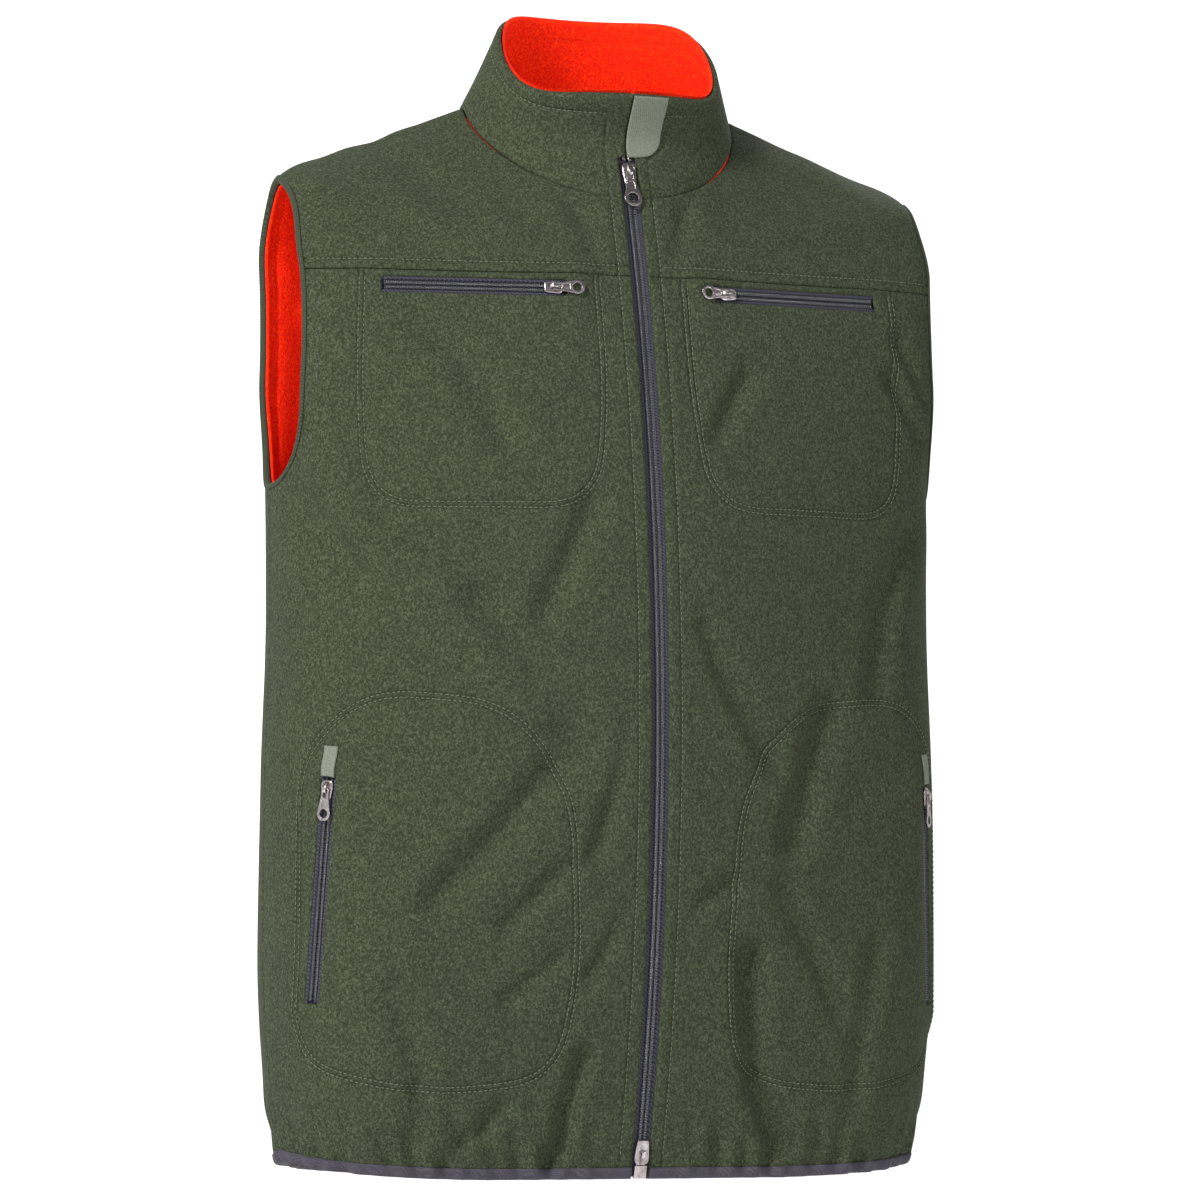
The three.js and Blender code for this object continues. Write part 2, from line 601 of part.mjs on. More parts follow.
// ---------------------------------------------------------------- main zip
const coilWall = TAPE_DEPTH - FIT_GAP - COIL_DEPTH;
const tapeFoot = BOX_HEIGHT + SEAM_GAP;
const tapeTop = ARC_END;
const ROW_STEP = 30;
const rows = { right: PIN_TOP + FIT_GAP, left: RETAINER_TOP + FIT_GAP };
for (const { word, sign } of sides) {
  const span = (inner, outer) => (sign > 0 ? [inner, outer] : [-outer, -inner]);
  const tape = strip(tapeFoot, tapeTop, ROW_STEP, ...span(COIL_GAP_HALF, TAPE_HALF), TAPE_DEPTH, TAPE_WALL);
  add(`zip_tape_${word}`, tape, 'tape');
  const row = span(COIL_GAP_HALF, COIL_HALF);
  add(`zip_coil_${word}`, strip(rows[word], coilTop, ROW_STEP, ...row, COIL_DEPTH, coilWall), 'coil');
  const stop = strip(coilTop + FIT_GAP, coilTop + STOP_LENGTH, STOP_LENGTH, ...row, COIL_DEPTH, coilWall);
  add(`top_stop_${word}`, stop, 'nickel');
}
const pinRow = [-COIL_HALF, -COIL_GAP_HALF];
add('insertion_pin', strip(PIN_FOOT, PIN_TOP, ROW_STEP, ...pinRow, COIL_DEPTH, coilWall), 'nickel');
const boxBlock = strip(FIT_GAP, BOX_HEIGHT, ROW_STEP, -BOX_HALF_WIDTH, BOX_HALF_WIDTH, -BOX_PROUD, BOX_WALL);
const pinHole = strip(
  PIN_FOOT - FIT_GAP, BOX_HEIGHT + 4, ROW_STEP,
  pinRow[0] - FIT_GAP, pinRow[1] + FIT_GAP, COIL_DEPTH - FIT_GAP, coilWall + 2 * FIT_GAP,
);
const retainerPin = strip(BOX_HEIGHT - 1, RETAINER_TOP, ROW_STEP, COIL_GAP_HALF, COIL_HALF, COIL_DEPTH, coilWall);
add('retainer_box', union(cut(boxBlock, pinHole), retainerPin), 'nickel');

// chin guard: a folded patch over the zip's upper end, sewn to the left collar edge
const guardLow = (coilTop + GUARD.overCoil - NECK_FRONT) / COLLAR_FRONT;
const guardTurns = stations(0.0008, GUARD.reachT, 4);
const guardRows = stations(0, 1, COLLAR_STEPS).filter((w) => w > guardLow + GUARD.cornerLift + 0.01);
const guardGrid = (depth) => guardTurns.map((t) => {
  const corner = guardLow + GUARD.cornerLift * (t / GUARD.reachT) ** 4;
  return [corner, ...guardRows].map((w) => under(collar, t, w, depth));
});
add('chin_guard', slab(guardGrid(-CLOTH_LIFT - CLOTH_WALL), guardGrid(-CLOTH_LIFT)), 'sage');

// ---------------------------------------------------------------- sliders and pulls
const plateLow = COIL_DEPTH - PLATE_GAP;                       // depth of the top plate's under face
const plateTop = PLATE_WALL - plateLow;                        // its upper face above the fleece
const underPlate = TAPE_DEPTH + TAPE_WALL + PLATE_GAP;
const pivotLift = plateTop + FIT_GAP + BAR * Math.SQRT1_2;     // bar's axis above the fleece
const bridgeInside = BAR * Math.SQRT1_2 + FIT_GAP;

function sliderShape({ length, halfWidth }) {
  const nose = length / 2;
  const outline = [
    [-halfWidth * 0.8, -nose], [halfWidth * 0.8, -nose], [halfWidth, nose * 0.2], [halfWidth, nose * 0.75],
    [halfWidth * 0.6, nose], [-halfWidth * 0.6, nose], [-halfWidth, nose * 0.75], [-halfWidth, nose * 0.2],
  ];
  const top = plate(outline, -plateLow, plateTop);
  const low = plate(outline, -underPlate - PLATE_WALL * 0.8, -underPlate);
  const web = block(-WEB_HALF, WEB_HALF, nose - 6, nose - 0.5, -underPlate - 0.2, -plateLow + 0.2);
  const roof = pivotLift + bridgeInside;
  const foot = plateTop - 0.2;
  const reach = bridgeInside + BRIDGE_WALL;
  const leg = (y0, y1) => block(-BRIDGE_HALF_WIDTH, BRIDGE_HALF_WIDTH, y0, y1, foot, roof + BRIDGE_WALL / 2);
  const beam = block(-BRIDGE_HALF_WIDTH, BRIDGE_HALF_WIDTH, -reach, reach, roof, roof + BRIDGE_WALL);
  return union(top, low, web, leg(-reach, -bridgeInside), leg(bridgeInside, reach), beam);
}
// the pull hangs from its bar; its eye is open so that it clears the bridge all the way over
function pullShape({ pull, ring }, direction) {
  const half = BAR / 2;
  const eye = 5;
  const neck = 2.7;
  const hole = BRIDGE_HALF_WIDTH + 0.5;
  const centre = -(pull - ring);
  const right = Array.from({ length: 9 }, (_, i) => {
    const angle = Math.PI * (0.28 - 0.78 * i / 8);
    return [ring * Math.cos(angle), centre + ring * Math.sin(angle)];
  });
  const left = right.slice(0, -1).reverse().map(([x, y]) => [-x, y]);
  const outline = [[-neck, half], [neck, half], [neck, -eye - 2], ...right, ...left, [-neck, -eye - 2]];
  const bore = Array.from({ length: 16 }, (_, i) => {
    const angle = 2 * Math.PI * i / 16;
    return [ring * 0.58 * Math.cos(angle), centre + ring * 0.58 * Math.sin(angle)];
  });
  const shape = plate(outline, -half, half, [rectangle(-hole, hole, -eye, -half), bore]);
  return direction > 0 ? shape.rotateZ(Math.PI) : shape;
}
const shifted = (frame, x, y, z) => frame.clone().multiply(new THREE.Matrix4().makeTranslation(x, y, z));

const topFrame = arcFrame(coilTop - TOP_SLIDER_DROP);
add('top_slider', sliderShape(MAIN_SLIDER), 'nickel', topFrame);
add('top_pull', pullShape(MAIN_SLIDER, -1), 'nickel', shifted(topFrame, 0, 0, pivotLift));
const flip = new THREE.Matrix4().makeRotationZ(Math.PI);
const bottomFrame = arcFrame(BOTTOM_SLIDER_HEIGHT).multiply(flip);
add('bottom_slider', sliderShape(MAIN_SLIDER), 'nickel', bottomFrame);

// ---------------------------------------------------------------- pocket zips
// a garage lies on the fleece above a hand zip, in line with it
function garageShape(side) {
  const lean = (HAND_ZIP.footT - HAND_ZIP.topT) / (HAND_ZIP.footHeight - HAND_ZIP.topHeight);
  const across = GARAGE.halfWidth / (4 * HALF_CHEST);
  const grid = (depth) => stations(GARAGE.start, GARAGE.start + GARAGE.length, 3).map((rise) => {
    const middle = HAND_ZIP.topT + lean * rise;
    const v = stationAt(middle, (HAND_ZIP.topHeight + rise) * gradeZ);
    return stations(middle - across, middle + across, 3).map((t) => under(body, side * t, v, depth));
  });
  return slab(grid(-CLOTH_LIFT - CLOTH_WALL), grid(-CLOTH_LIFT));
}
for (const { name, zip, pullSign, garage, sign } of pocketZips) {
  const { frame, length } = zip;
  const slit = rectangle(-COIL_GAP_HALF, COIL_GAP_HALF, -length, 0);
  const tapeOutline = rectangle(-POCKET_TAPE_HALF, POCKET_TAPE_HALF, -length - POCKET_TAPE_END, POCKET_TAPE_END);
  add(`${name}_zip_tape`, plate(tapeOutline, -TAPE_DEPTH - TAPE_WALL, -TAPE_DEPTH, [slit]), 'tape', frame);
  const coilOutline = rectangle(-COIL_HALF, COIL_HALF, -length - COIL_END + 4, COIL_END - 0.5);
  const coilSlit = rectangle(-COIL_GAP_HALF, COIL_GAP_HALF, -length + 2.5, 0);
  add(`${name}_zip_coil`, plate(coilOutline, -COIL_DEPTH - coilWall, -COIL_DEPTH, [coilSlit]), 'coil', frame);
  const parked = shifted(frame, 0, -POCKET_SLIDER.length / 2 - FIT_GAP, 0);
  add(`${name}_slider`, sliderShape(POCKET_SLIDER), 'nickel', parked);
  add(`${name}_pull`, pullShape(POCKET_SLIDER, pullSign), 'nickel', shifted(parked, 0, 0, pivotLift));
  if (garage) add(`${name}_garage`, garageShape(sign), 'sage');
}

// ---------------------------------------------------------------- pocket bags
// the bags lie against the lining, so they are cut from a layer with the lining's own facets
const bagLayer = layer(body, EDGE_LOW, 1 - NECK_SEAM_SHARE / 4, RISE_STEPS, () => BAG_DEPTH, BAG_WALL);
const BAG_CORNER = 5;             // power of the rounded oblong that a bag is cut to
const BAG_STEPS = 36;
function bagRegion(turnLow, turnHigh, low, high, side) {
  const round = (value) => Math.sign(value) * Math.abs(value) ** (2 / BAG_CORNER);
  const edge = Array.from({ length: BAG_STEPS }, (_, i) => {
    const angle = 2 * Math.PI * i / BAG_STEPS;
    const t = (turnLow + turnHigh) / 2 + (turnHigh - turnLow) / 2 * round(Math.cos(angle));
    const height = (low + high) / 2 + (high - low) / 2 * round(Math.sin(angle));
    const v = stationAt(t, height);
    return { point: body(side * t, v), out: normalOf(body, side * t, v) };
  });
  const ring = (reach) => edge.map(({ point, out }) => point.clone().addScaledVector(out, reach));
  return plug([FLEECE, -LINING_DEPTH - LINING].map(ring));
}
for (const { word, sign } of sides) {
  const chest = CHEST_BAG;
  const inner = turnAt(chest.innerX * gradeX, 500 * gradeZ);
  const outer = turnAt(chest.outerX * gradeX, 500 * gradeZ);
  const chestRegion = bagRegion(inner, outer, chest.foot * gradeZ, chest.top * gradeZ, sign);
  add(`chest_${word}_bag`, keep(bagLayer, chestRegion), 'pocketing');
  const hand = HAND_BAG;
  const near = turnAt(hand.innerX * gradeX, 180 * gradeZ);
  const handRegion = bagRegion(near, hand.outerT, hand.foot * gradeZ, hand.top * gradeZ, sign);
  add(`hand_${word}_bag`, keep(bagLayer, handRegion), 'pocketing');
}

export default vest;
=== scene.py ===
# %% [markdown]
# # A reversible fleece vest
# The vest is two shirts in one: an olive fleece outside, a blaze orange fleece inside, and a two-way
# zip between them. Everything here is built round a imported frame that fixes the sizes and the joints,
# so the first step loads that frame.

# %% Load the frame
import json
import math
import bmesh
import bpy
import numpy as np
from mathutils import Matrix, Vector


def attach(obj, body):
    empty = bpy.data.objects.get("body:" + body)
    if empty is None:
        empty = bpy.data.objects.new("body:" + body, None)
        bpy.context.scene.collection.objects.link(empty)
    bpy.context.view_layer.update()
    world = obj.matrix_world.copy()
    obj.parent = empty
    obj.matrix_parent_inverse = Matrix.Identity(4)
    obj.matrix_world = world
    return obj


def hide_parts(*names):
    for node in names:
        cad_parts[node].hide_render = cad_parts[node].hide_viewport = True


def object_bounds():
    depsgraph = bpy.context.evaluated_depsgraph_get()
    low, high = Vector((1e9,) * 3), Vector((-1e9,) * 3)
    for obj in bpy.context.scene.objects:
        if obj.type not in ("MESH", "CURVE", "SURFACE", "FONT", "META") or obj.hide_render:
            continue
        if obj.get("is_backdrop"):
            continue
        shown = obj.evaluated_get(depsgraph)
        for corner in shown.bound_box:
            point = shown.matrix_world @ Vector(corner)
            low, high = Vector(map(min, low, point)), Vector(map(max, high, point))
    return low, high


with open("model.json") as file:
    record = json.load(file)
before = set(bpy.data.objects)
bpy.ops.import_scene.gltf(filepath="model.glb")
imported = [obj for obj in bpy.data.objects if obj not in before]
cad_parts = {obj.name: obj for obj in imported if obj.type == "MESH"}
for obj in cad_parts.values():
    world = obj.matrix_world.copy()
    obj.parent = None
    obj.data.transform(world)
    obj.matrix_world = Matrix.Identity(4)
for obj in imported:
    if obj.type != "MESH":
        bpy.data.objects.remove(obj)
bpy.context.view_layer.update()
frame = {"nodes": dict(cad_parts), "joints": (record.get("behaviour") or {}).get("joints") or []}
joints = {joint["name"]: joint for joint in frame["joints"]}
MM = 0.001

# %% [markdown]
# ## Camera, light and floor
# The camera comes first. It stands four metres off, a little to the wearer's right and slightly below
# the middle of the vest, with a long lens, so that the two halves keep their true widths. Large soft
# lights and a pale sweep behind give even light with gentle shade in the folds.

# %% Camera
camera = bpy.data.objects.new("camera", bpy.data.cameras.new("camera"))
bpy.context.scene.collection.objects.link(camera)
camera.location = (-1.368, -3.759, -0.588)
look_at = Vector((0.0, 0.0, -0.326))
camera.rotation_euler = (look_at - camera.location).to_track_quat("-Z", "Y").to_euler()
camera.data.sensor_width = 36
camera.data.lens = 183.5
bpy.context.scene.camera = camera
bpy.context.scene.view_settings.view_transform = "Standard"
print("camera distance", round((look_at - camera.location).length, 3), "m")


# %% Lights
def soft_light(name, place, size, power, aim=(0, 0, -0.35)):
    lamp = bpy.data.lights.new(name, "AREA")
    lamp.size = size
    lamp.energy = power
    holder = bpy.data.objects.new(name, lamp)
    bpy.context.scene.collection.objects.link(holder)
    holder.location = place
    holder.rotation_euler = (Vector(aim) - Vector(place)).to_track_quat("-Z", "Y").to_euler()
    return holder


soft_light("key_light", (-2.9, -1.9, 2.1), 0.9, 235)
soft_light("fill_light", (2.2, -3.4, 0.3), 1.4, 26)
soft_light("back_light", (1.6, 2.2, 1.7), 1.4, 60)
soft_light("wall_light", (0.0, 3.6, 4.4), 4.0, 330, aim=(0, 7.0, 0.2))
soft_light("floor_light", (0.0, -5.2, 3.0), 4.0, 260, aim=(0, -8.0, -1.0))
sky = bpy.data.worlds.new("studio")
sky.use_nodes = True
tree = sky.node_tree
direction = tree.nodes.new("ShaderNodeSeparateXYZ")
band = tree.nodes.new("ShaderNodeValToRGB")
band.color_ramp.elements[0].position = 0.22
band.color_ramp.elements[0].color = (0.92, 0.92, 0.92, 1)
band.color_ramp.elements[1].position = 0.5
band.color_ramp.elements[1].color = (0.13, 0.13, 0.135, 1)
tree.links.new(tree.nodes.new("ShaderNodeTexCoord").outputs["Generated"], direction.inputs["Vector"])
tree.links.new(direction.outputs["Z"], band.inputs["Fac"])
tree.links.new(band.outputs["Color"], tree.nodes["Background"].inputs["Color"])
bpy.context.scene.world = sky
print("five soft lights, and a sky that is pale near the ground")


# %% Small mesh helper
def mesh_object(name, points, faces, material):
    mesh = bpy.data.meshes.new(name)
    mesh.from_pydata([tuple(p) for p in points], [], [tuple(int(i) for i in f) for f in faces])
    mesh.validate()
    mesh.shade_smooth()
    thing = bpy.data.objects.new(name, mesh)
    bpy.context.scene.collection.objects.link(thing)
    mesh.materials.append(material)
    return thing


def finish_piece(thing, body, nodes=()):
    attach(thing, body)
    if nodes:
        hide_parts(*nodes)
    return thing


# %% [markdown]
# ## Materials
# Fleece is a brushed knit. Its pile stands in small tufts that lean together, so its colour is broken
# into light and dark flecks two or three millimetres across. A bump in the shader gives the tufts,
# noise of two sizes breaks the colour, and a little sheen stands for the light caught in the fibres.
# Zip tape and bindings are woven or knitted in fine ribs. The metal is an old nickel, warm and satin.

# %% Shader building blocks
def node_tree(name):
    material = bpy.data.materials.new(name)
    material.use_nodes = True
    tree = material.node_tree
    return material, tree, tree.nodes["Principled BSDF"]


def noise(tree, coordinates, scale, detail=2.0, roughness=0.55, distortion=0.0):
    node = tree.nodes.new("ShaderNodeTexNoise")
    node.inputs["Scale"].default_value = scale
    node.inputs["Detail"].default_value = detail
    node.inputs["Roughness"].default_value = roughness
    node.inputs["Distortion"].default_value = distortion
    tree.links.new(coordinates, node.inputs["Vector"])
    return node.outputs["Fac"]


def object_coordinates(tree, stretch=(1, 1, 1)):
    place = tree.nodes.new("ShaderNodeTexCoord").outputs["Object"]
    mapping = tree.nodes.new("ShaderNodeMapping")
    mapping.inputs["Scale"].default_value = stretch
    tree.links.new(place, mapping.inputs["Vector"])
    return mapping.outputs["Vector"]


def ramp(tree, factor, stops):
    node = tree.nodes.new("ShaderNodeValToRGB")
    band = node.color_ramp
    while len(band.elements) < len(stops):
        band.elements.new(0.5)
    for element, (place, colour) in zip(band.elements, stops):
        element.position = place
        element.color = (*colour, 1)
    tree.links.new(factor, node.inputs["Fac"])
    return node.outputs["Color"]


def blend_colours(tree, low, high, factor, mode="MIX"):
    node = tree.nodes.new("ShaderNodeMix")
    node.data_type = "RGBA"
    node.blend_type = mode
    for socket, value in ((node.inputs[6], low), (node.inputs[7], high)):
        if isinstance(value, tuple):
            socket.default_value = (*value, 1)
        else:
            tree.links.new(value, socket)
    if isinstance(factor, float):
        node.inputs[0].default_value = factor
    else:
        tree.links.new(factor, node.inputs[0])
    return node.outputs[2]


def bump(tree, shader, heights, strength, distance):
    """heights is one socket, or two to add together"""
    height = heights[0]
    if len(heights) > 1:
        add = tree.nodes.new("ShaderNodeMath")
        add.operation = "ADD"
        tree.links.new(heights[0], add.inputs[0])
        tree.links.new(heights[1], add.inputs[1])
        height = add.outputs[0]
    node = tree.nodes.new("ShaderNodeBump")
    node.inputs["Strength"].default_value = strength
    node.inputs["Distance"].default_value = distance
    tree.links.new(height, node.inputs["Height"])
    tree.links.new(node.outputs["Normal"], shader.inputs["Normal"])


# %% Fleece
def fleece(name, dark, middle, light, sheen):
    material, tree, shader = node_tree(name)
    nap = object_coordinates(tree, (1.0, 1.0, 0.75))
    tufts = noise(tree, nap, 820, detail=2.0, roughness=0.6, distortion=0.8)
    clouds = noise(tree, nap, 60, detail=4.0, roughness=0.6)
    flecks = ramp(tree, tufts, ((0.40, dark), (0.52, middle), (0.64, light)))
    wear = ramp(tree, clouds, ((0.3, (0.96, 0.96, 0.96)), (0.7, (1.03, 1.03, 1.03))))
    colour = blend_colours(tree, flecks, wear, 1.0, "MULTIPLY")
    tree.links.new(colour, shader.inputs["Base Color"])
    shader.inputs["Roughness"].default_value = 0.92
    shader.inputs["Specular IOR Level"].default_value = 0.18
    shader.inputs["Sheen Weight"].default_value = sheen
    shader.inputs["Sheen Roughness"].default_value = 0.45
    shader.inputs["Sheen Tint"].default_value = (*light, 1)
    bump(tree, shader, [tufts, noise(tree, nap, 1100, detail=1.0)], 0.55, 0.0009)
    return material


olive_fleece = fleece("olive_fleece", (0.021, 0.026, 0.013), (0.037, 0.0455, 0.0245),
                      (0.066, 0.079, 0.045), 0.05)
orange_fleece = fleece("orange_fleece", (0.78, 0.010, 0.0), (0.95, 0.018, 0.0), (1.0, 0.05, 0.003), 0.04)
print("fleeces:", olive_fleece.name, orange_fleece.name)


# %% Woven and knitted cloths
def ribbed_cloth(name, dark, light, rib=1600.0, strength=0.5):
    material, tree, shader = node_tree(name)
    place = object_coordinates(tree)
    wave = tree.nodes.new("ShaderNodeTexWave")
    wave.bands_direction = "DIAGONAL"
    wave.inputs["Scale"].default_value = rib / 6.28
    wave.inputs["Distortion"].default_value = 0.4
    wave.inputs["Detail"].default_value = 1.0
    tree.links.new(place, wave.inputs["Vector"])
    grain = noise(tree, place, 900, detail=2.0)
    ribs = ramp(tree, wave.outputs["Fac"], ((0.1, dark), (0.9, light)))
    shade = ramp(tree, grain, ((0.3, (0.8, 0.8, 0.8)), (0.7, (1.15, 1.15, 1.15))))
    tree.links.new(blend_colours(tree, ribs, shade, 1.0, "MULTIPLY"), shader.inputs["Base Color"])
    shader.inputs["Roughness"].default_value = 0.8
    shader.inputs["Specular IOR Level"].default_value = 0.25
    bump(tree, shader, [wave.outputs["Fac"], grain], strength, 0.0003)
    return material


zip_tape_cloth = ribbed_cloth("zip_tape_cloth", (0.018, 0.017, 0.026), (0.055, 0.053, 0.076))
hem_cloth = ribbed_cloth("hem_cloth", (0.040, 0.037, 0.050), (0.055, 0.051, 0.068),
                         rib=2200.0, strength=0.15)
armhole_cloth = ribbed_cloth("armhole_cloth", (0.020, 0.026, 0.014), (0.042, 0.052, 0.030), rib=2200.0)
sage_cloth = ribbed_cloth("sage_cloth", (0.132, 0.148, 0.112), (0.158, 0.176, 0.136),
                          rib=2600.0, strength=0.12)
pocket_cloth = ribbed_cloth("pocket_cloth", (0.035, 0.045, 0.027), (0.060, 0.074, 0.046), rib=2600.0)
elastic_cloth = ribbed_cloth("elastic_cloth", (0.012, 0.012, 0.016), (0.035, 0.035, 0.045), rib=900.0)
olive_thread = ribbed_cloth("olive_thread", (0.115, 0.135, 0.085), (0.190, 0.220, 0.145), rib=4000.0)
orange_thread = ribbed_cloth("orange_thread", (0.70, 0.02, 0.0), (1.0, 0.06, 0.01), rib=4000.0)
print("cloths for tape, bindings, guards, bags and thread")


# %% Coil and metal
def coil_nylon():
    material, tree, shader = node_tree("coil_nylon")
    tint = noise(tree, object_coordinates(tree), 700, detail=1.0)
    # painted highlight: this grey base is lighter than the black nylon and stands in for the glints on each
    # turn; the noise adds a random tone
    tree.links.new(ramp(tree, tint, ((0.3, (0.055, 0.055, 0.062)), (0.7, (0.10, 0.10, 0.11)))),
                   shader.inputs["Base Color"])
    shader.inputs["Roughness"].default_value = 0.22
    shader.inputs["Specular IOR Level"].default_value = 0.9
    shader.inputs["Coat Weight"].default_value = 0.8
    shader.inputs["Coat Roughness"].default_value = 0.12
    return material


def antique_nickel():
    material, tree, shader = node_tree("antique_nickel")
    place = object_coordinates(tree)
    patina = noise(tree, place, 260, detail=4.0)
    scratch = noise(tree, place, 2400, detail=2.0)
    tone = ramp(tree, patina, ((0.32, (0.25, 0.21, 0.215)), (0.55, (0.44, 0.395, 0.40)),
                               (0.75, (0.64, 0.59, 0.59))))
    tree.links.new(tone, shader.inputs["Base Color"])
    gloss = ramp(tree, patina, ((0.3, (0.36, 0.36, 0.36)), (0.7, (0.22, 0.22, 0.22))))
    tree.links.new(gloss, shader.inputs["Roughness"])
    shader.inputs["Metallic"].default_value = 1.0
    bump(tree, shader, [scratch], 0.12, 0.00005)
    return material


coil_plastic = coil_nylon()
nickel = antique_nickel()
print("coil and nickel")

# %% Floor and sweep
def studio_sweep():
    """a floor that curves up into a wall behind the vest"""
    floor_z, near, far, radius, half, top = -1.05, -9.0, 6.0, 1.2, 9.0, 4.0
    bend = [(far + radius * math.sin(a), floor_z + radius * (1 - math.cos(a)))
            for a in np.linspace(0, math.pi / 2, 13)]
    profile = [(near, floor_z), *bend, (far + radius, top)]
    points = [(x, y, z) for y, z in profile for x in (-half, half)]
    faces = [(2 * i, 2 * i + 1, 2 * i + 3, 2 * i + 2) for i in range(len(profile) - 1)]
    paint, tree, shader = node_tree("studio_paint")
    grain = noise(tree, object_coordinates(tree), 3.0)
    tree.links.new(ramp(tree, grain, ((0.2, (0.93, 0.93, 0.93)), (0.8, (0.96, 0.96, 0.96)))),
                   shader.inputs["Base Color"])
    shader.inputs["Roughness"].default_value = 0.9
    shader.inputs["Specular IOR Level"].default_value = 0.1
    sweep = mesh_object("studio_sweep", points, faces, paint)
    sweep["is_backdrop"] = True
    return sweep


studio_sweep()
print("floor and wall in one curve")

# %% [markdown]
# ## The body's surface
# A vest is cut from flat cloth, but worn it takes one smooth shape, so the shape is written once as a
# surface and every layer is laid on it. `t` runs round the body: 0 at the front zip, 0.25 at the
# wearer's left side, 0.5 at the back. `v` runs from the hem, 0, to the neck seam, 1. Heights are in
# millimetres above the hem while a piece is drawn, and `to_metres` lowers them to the neck.

# %% Sections from hem to neck
# station, front, side and back height, half width, side y, back depth, front and back corner radius
STATIONS = np.array([
    [0.00, 0, 12, 0, 212, 8, 100, 72, 70],
    [0.07, 50, 56, 50, 223, 6, 116, 84, 80],
    [0.20, 150, 150, 150, 229, 2, 126, 90, 86],
    [0.34, 255, 255, 255, 228, 0, 122, 88, 84],
    [0.48, 360, 360, 360, 225, 0, 114, 82, 80],
    [0.59, 445, 445, 445, 226, 0, 116, 72, 76],
    [0.69, 520, 520, 520, 237, 2, 112, 66, 68],
    [0.78, 583, 592, 588, 238, 4, 100, 56, 60],
    [0.86, 602, 645, 636, 220, 6, 90, 40, 46],
    [0.93, 618, 673, 676, 154, 8, 76, 30, 40],
    [1.00, 634, 697, 702, 93, 8, 56, 45, 46],
], float)
BACK_LENGTH = 702.0
NECK_FRONT = 634.0
COLLAR_FRONT, COLLAR_BACK = 66.0, 61.0
ZIP_RADIUS = 1100.0
ARC_TOP, ARC_FOOT = (-54.0, 655.0), (-74.0, 0.0)


def column(v, k):
    """one column of the table as a smooth curve that never overshoots its stations"""
    x, y = STATIONS[:, 0], STATIONS[:, k]
    h = np.diff(x)
    d = np.diff(y) / h
    m = np.zeros(len(x))
    for i in range(1, len(x) - 1):
        if d[i - 1] * d[i] > 0:
            w1, w2 = 2 * h[i] + h[i - 1], h[i] + 2 * h[i - 1]
            m[i] = (w1 + w2) / (w1 / d[i - 1] + w2 / d[i])
    m[0], m[-1] = d[0], d[-1]
    v = np.clip(v, 0, 1)
    i = np.clip(np.searchsorted(x, v, side="right") - 1, 0, len(x) - 2)
    s = (v - x[i]) / h[i]
    r = 1 - s
    return (y[i] * (1 + 2 * s) * r * r + m[i] * h[i] * s * r * r
            + y[i + 1] * s * s * (3 - 2 * s) - m[i + 1] * h[i] * s * s * r)


def arc_centre():
    (y1, z1), (y2, z2) = ARC_TOP, ARC_FOOT
    chord = math.hypot(y1 - y2, z1 - z2)
    reach = math.sqrt(ZIP_RADIUS ** 2 - (chord / 2) ** 2)
    return (y1 + y2) / 2 + reach * (z1 - z2) / chord, (z1 + z2) / 2 - reach * (y1 - y2) / chord


ARC_Y, ARC_Z = arc_centre()


def front_y(z):
    return ARC_Y - np.sqrt(np.maximum(ZIP_RADIUS ** 2 - (z - ARC_Z) ** 2, 0))


print("the front edge bends about y", round(ARC_Y, 1), "z", round(ARC_Z, 1))


# %% The surface itself
def quarter(s, half_width, depth, corner):
    """a wide arc that runs into a corner arc: s 0 at the middle, 1 at the side"""
    r = np.minimum(corner, 0.98 * np.minimum(half_width, depth))
    wide = (depth ** 2 + (half_width - r) ** 2 - r * r) / (2 * (depth - r))
    turn = np.arctan2(half_width - r, wide - depth)
    along = s * (wide * turn + r * (math.pi / 2 - turn))
    on_wide = along <= wide * turn
    angle = np.where(on_wide, along / wide, turn + (along - wide * turn) / r)
    x = np.where(on_wide, wide * np.sin(angle), half_width - r + r * np.sin(angle))
    y = np.where(on_wide, wide * np.cos(angle) - (wide - depth), r * np.cos(angle))
    return x, y


def body(t, v):
    t, v = np.broadcast_arrays(np.mod(np.asarray(t, float), 1), np.asarray(v, float))
    front_z, side_z, back_z, half_width, side_y, back_depth, corner_f, corner_b = (
        column(v, k) for k in range(1, 9))
    half = np.where(t <= 0.5, t, 1 - t)
    in_front = half <= 0.25
    s = np.where(in_front, half / 0.25, (0.5 - half) / 0.25)
    depth = np.where(in_front, side_y - front_y(front_z), back_depth)
    x, y = quarter(s, half_width, depth, np.where(in_front, corner_f, corner_b))
    level = np.where(in_front, front_z, back_z)
    mix = np.minimum(1, v / 0.2)
    rise = np.maximum(0, (s - 0.35) / 0.65) ** 2 * (1 - mix) + s ** 2.1 * mix
    return np.stack([np.where(t <= 0.5, x, -x), side_y + np.where(in_front, -y, y),
                     level + (side_z - level) * rise], -1)


RIM_HALF_WIDTH, RIM_FRONT_Y, RIM_BACK_Y, RIM_LEAN = 75.0, -66.0, 36.0, -0.6
ARC_END = NECK_FRONT + 31


def rim(t):
    angle = 2 * math.pi * np.asarray(t, float)
    q = (1 - np.cos(angle)) / 2
    climb = q ** 3 * (q * (6 * q - 15) + 10)
    low, high = NECK_FRONT + COLLAR_FRONT, BACK_LENGTH + COLLAR_BACK
    middle, half = (RIM_FRONT_Y + RIM_BACK_Y) / 2, (RIM_BACK_Y - RIM_FRONT_Y) / 2
    return np.stack([RIM_HALF_WIDTH * np.sin(angle), middle - half * np.cos(angle),
                     low + (high - low) * climb], -1)


